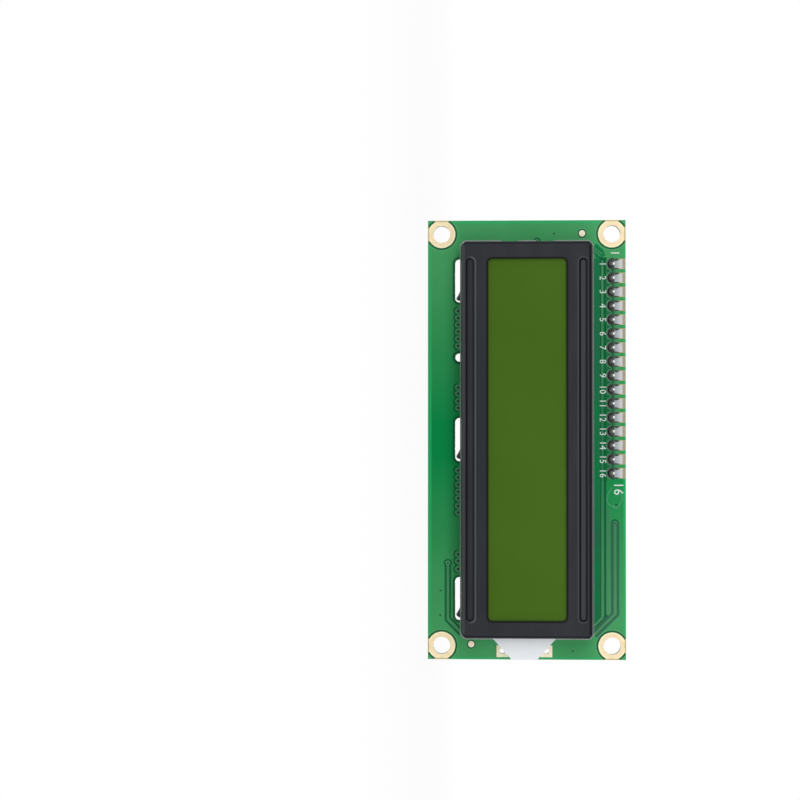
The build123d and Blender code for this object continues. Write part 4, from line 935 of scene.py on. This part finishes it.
# Tracks show faintly under the black mask, and the cut edge shows round three sides.
def adapterEdge():
    faint, rim = bmesh.new(), bmesh.new()
    for points, width, count, stepX, stepZ in adapterMarks["tracks"]:
        bundle(faint, adapterFace, points, width, lift["track"], count, stepX, stepZ)
    finishPiece("adapterTracks", faint, blackTrackMask)
    inset = 0.07
    xLow, xHigh = adapter["xLow"] + inset, adapter["xHigh"] - inset
    zLow, zHigh = adapter["zLow"] + inset, adapter["zHigh"] - inset
    line(rim, adapterFace, [(xHigh, zHigh), (xHigh, zLow), (xLow, zLow), (xLow, zHigh)], 0.12, lift["gap"])
    finishPiece("adapterRim", rim, adapterCut)


# Chip resistors carry plain numbers.
chipMarks = {"words": "100", "tall": 0.55, "high": 0.02, "sink": 0.005, "uprightZ": 4.75, "flatZ": 0.15,
             "single": (-1.3, 9.65)}


def resistorNumbers():
    bm = bmesh.new()
    top = max(v.co.y for v in nodes["adapter_resistors"].data.vertices) / mm
    face = {"y": top - chipMarks["sink"], "out": 1}
    upright = [(x, chipMarks["uprightZ"], math.pi / 2) for x in uprightX]
    flat = [(x, chipMarks["flatZ"], math.pi) for x in flatX]
    for x, z, turn in upright + [(*chipMarks["single"], math.pi / 2)] + flat:
        numbers(bm, face, chipMarks["words"], x, z, chipMarks["tall"], chipMarks["high"], turn=turn)
    finishPiece("resistorNumbers", bm, printDim)


edgeStrips("backEdgeStrips", backFace, back["edgeWide"], maskBackEdge)
backPowerTracks()
backFineTracks()
backClearances()
viaGroups = ("rows", "cluster", "topVias", "midVias", "dropVias", "lowVias", "ringVias")
viaHoles("backVias", backFace, [(0.19, viaColumn)] + [(0.19, back[group]) for group in viaGroups])
backPrint()
adapterPrint()
adapterEdge()
resistorNumbers()
print("back of the board and adapter drawn")


# Floor, lamps and camera

# Near the module the floor takes its shadow, and further off it goes over into the white round it.
floorLook = {"size": 3000.0, "below": 0.05, "pale": 0.86, "near": 60.0, "far": 200.0, "glow": 0.94}


# 1 for rays of the kinds named, 0 for the others.
def seen(tree, *kinds):
    path, share = addNode(tree, "LightPath", {}), 0.0
    for kind in kinds:
        share = maths(tree, "MAXIMUM", path.outputs[f"Is {kind} Ray"], share)
    return share


def makeFloor():
    bm = bmesh.new()
    bmesh.ops.create_grid(bm, x_segments=1, y_segments=1, size=floorLook["size"],
                          matrix=Matrix.Translation((0, 0, -board["halfWidth"] - floorLook["below"])))
    material = bpy.data.materials.new("paleFloor")
    material.use_nodes = True
    tree = material.node_tree
    shader = tree.nodes["Principled BSDF"]
    shader.inputs["Base Color"].default_value = (floorLook["pale"], floorLook["pale"], floorLook["pale"], 1.0)
    shader.inputs["Roughness"].default_value = 0.9
    shader.inputs["Specular IOR Level"].default_value = 0.0
    glow = addNode(tree, "Emission", {"Strength": 1.0})
    place = addNode(tree, "TexCoord", {})
    away = addNode(tree, "VectorMath", {0: place.outputs["Object"]}, operation="LENGTH")
    fade = addNode(tree, "MapRange", {"Value": away.outputs["Value"], "From Min": floorLook["near"] * mm,
                                      "From Max": floorLook["far"] * mm, "To Min": floorLook["glow"], "To Max": 1.0})
    share = maths(tree, "MULTIPLY", seen(tree, "Camera", "Glossy"), fade.outputs["Result"])
    mix = addNode(tree, "MixShader", {0: share, 1: shader.outputs["BSDF"], 2: glow.outputs["Emission"]})
    tree.links.new(mix.outputs["Shader"], tree.nodes["Material Output"].inputs["Surface"])
    makeObject("floor", bm, material)


# Each panel stands off in its own direction along X and Y, with its watts.
light = {"sky": 0.35, "distance": 800.0, "height": 160.0, "long": 1600.0, "tall": 400.0,
         "panels": {"frontPanel": (-0.1, -1.0, 5.0), "backPanel": (0.1, 1.0, 5.0), "leftPanel": (-1.0, 0.0, 1.6),
                    "rightPanel": (1.0, 0.0, 1.6)}}


def makeSky():
    world = bpy.data.worlds.new("studio")
    bpy.context.scene.world = world
    world.use_nodes = True
    tree = world.node_tree
    bare = seen(tree, "Camera", "Glossy", "Transmission")
    level = addNode(tree, "MapRange", {"Value": bare, "To Min": light["sky"], "To Max": 1.0})
    sky = tree.nodes["Background"]
    sky.inputs["Color"].default_value = (1.0, 1.0, 1.0, 1.0)
    tree.links.new(level.outputs["Result"], sky.inputs["Strength"])


def makePanel(name, x, y, watts):
    lamp = bpy.data.lights.new(name, "AREA")
    lamp.energy = watts
    lamp.shape = "RECTANGLE"
    lamp.size = light["long"] * mm
    lamp.size_y = light["tall"] * mm
    holder = bpy.data.objects.new(name, lamp)
    bpy.context.scene.collection.objects.link(holder)
    holder.location = Vector((x * light["distance"], y * light["distance"], light["height"])) * mm
    holder.rotation_euler = (-holder.location).to_track_quat("-Z", "Y").to_euler()


# The camera looks along +Y. In the picture the module's origin is at originPixel, and scale is its pixels to a
# millimetre.
view = {"distance": 440.0, "scale": 5.48, "originPixel": (526.65, 439.65), "picture": 800.0, "sensor": 36.0}


def makeCamera():
    sight = bpy.data.cameras.new("camera")
    focalPixels = view["scale"] * view["distance"]
    sight.sensor_width = view["sensor"]
    sight.lens = focalPixels * view["sensor"] / view["picture"]
    sight.clip_start = 0.01
    sight.clip_end = 20.0
    holder = bpy.data.objects.new("camera", sight)
    bpy.context.scene.collection.objects.link(holder)
    # The picture's right is +Z and its top is -X, as the board stands on its short edge there.
    square = Matrix(((0, -1, 0), (0, 0, -1), (1, 0, 0)))
    half = view["picture"] / 2
    towards = Vector((view["originPixel"][0] - half, half - view["originPixel"][1], -focalPixels)).normalized()
    aim = towards.rotation_difference(Vector((0, 0, -1))).to_matrix()
    holder.matrix_world = Matrix.Translation((0, -view["distance"] * mm, 0)) @ (square @ aim).to_4x4()
    bpy.context.scene.camera = holder


makeFloor()
makeSky()
for panelName, panel in light["panels"].items():
    makePanel(panelName, *panel)
makeCamera()
bpy.context.scene.view_settings.view_transform = "Standard"
print("floor, lamps and camera set")
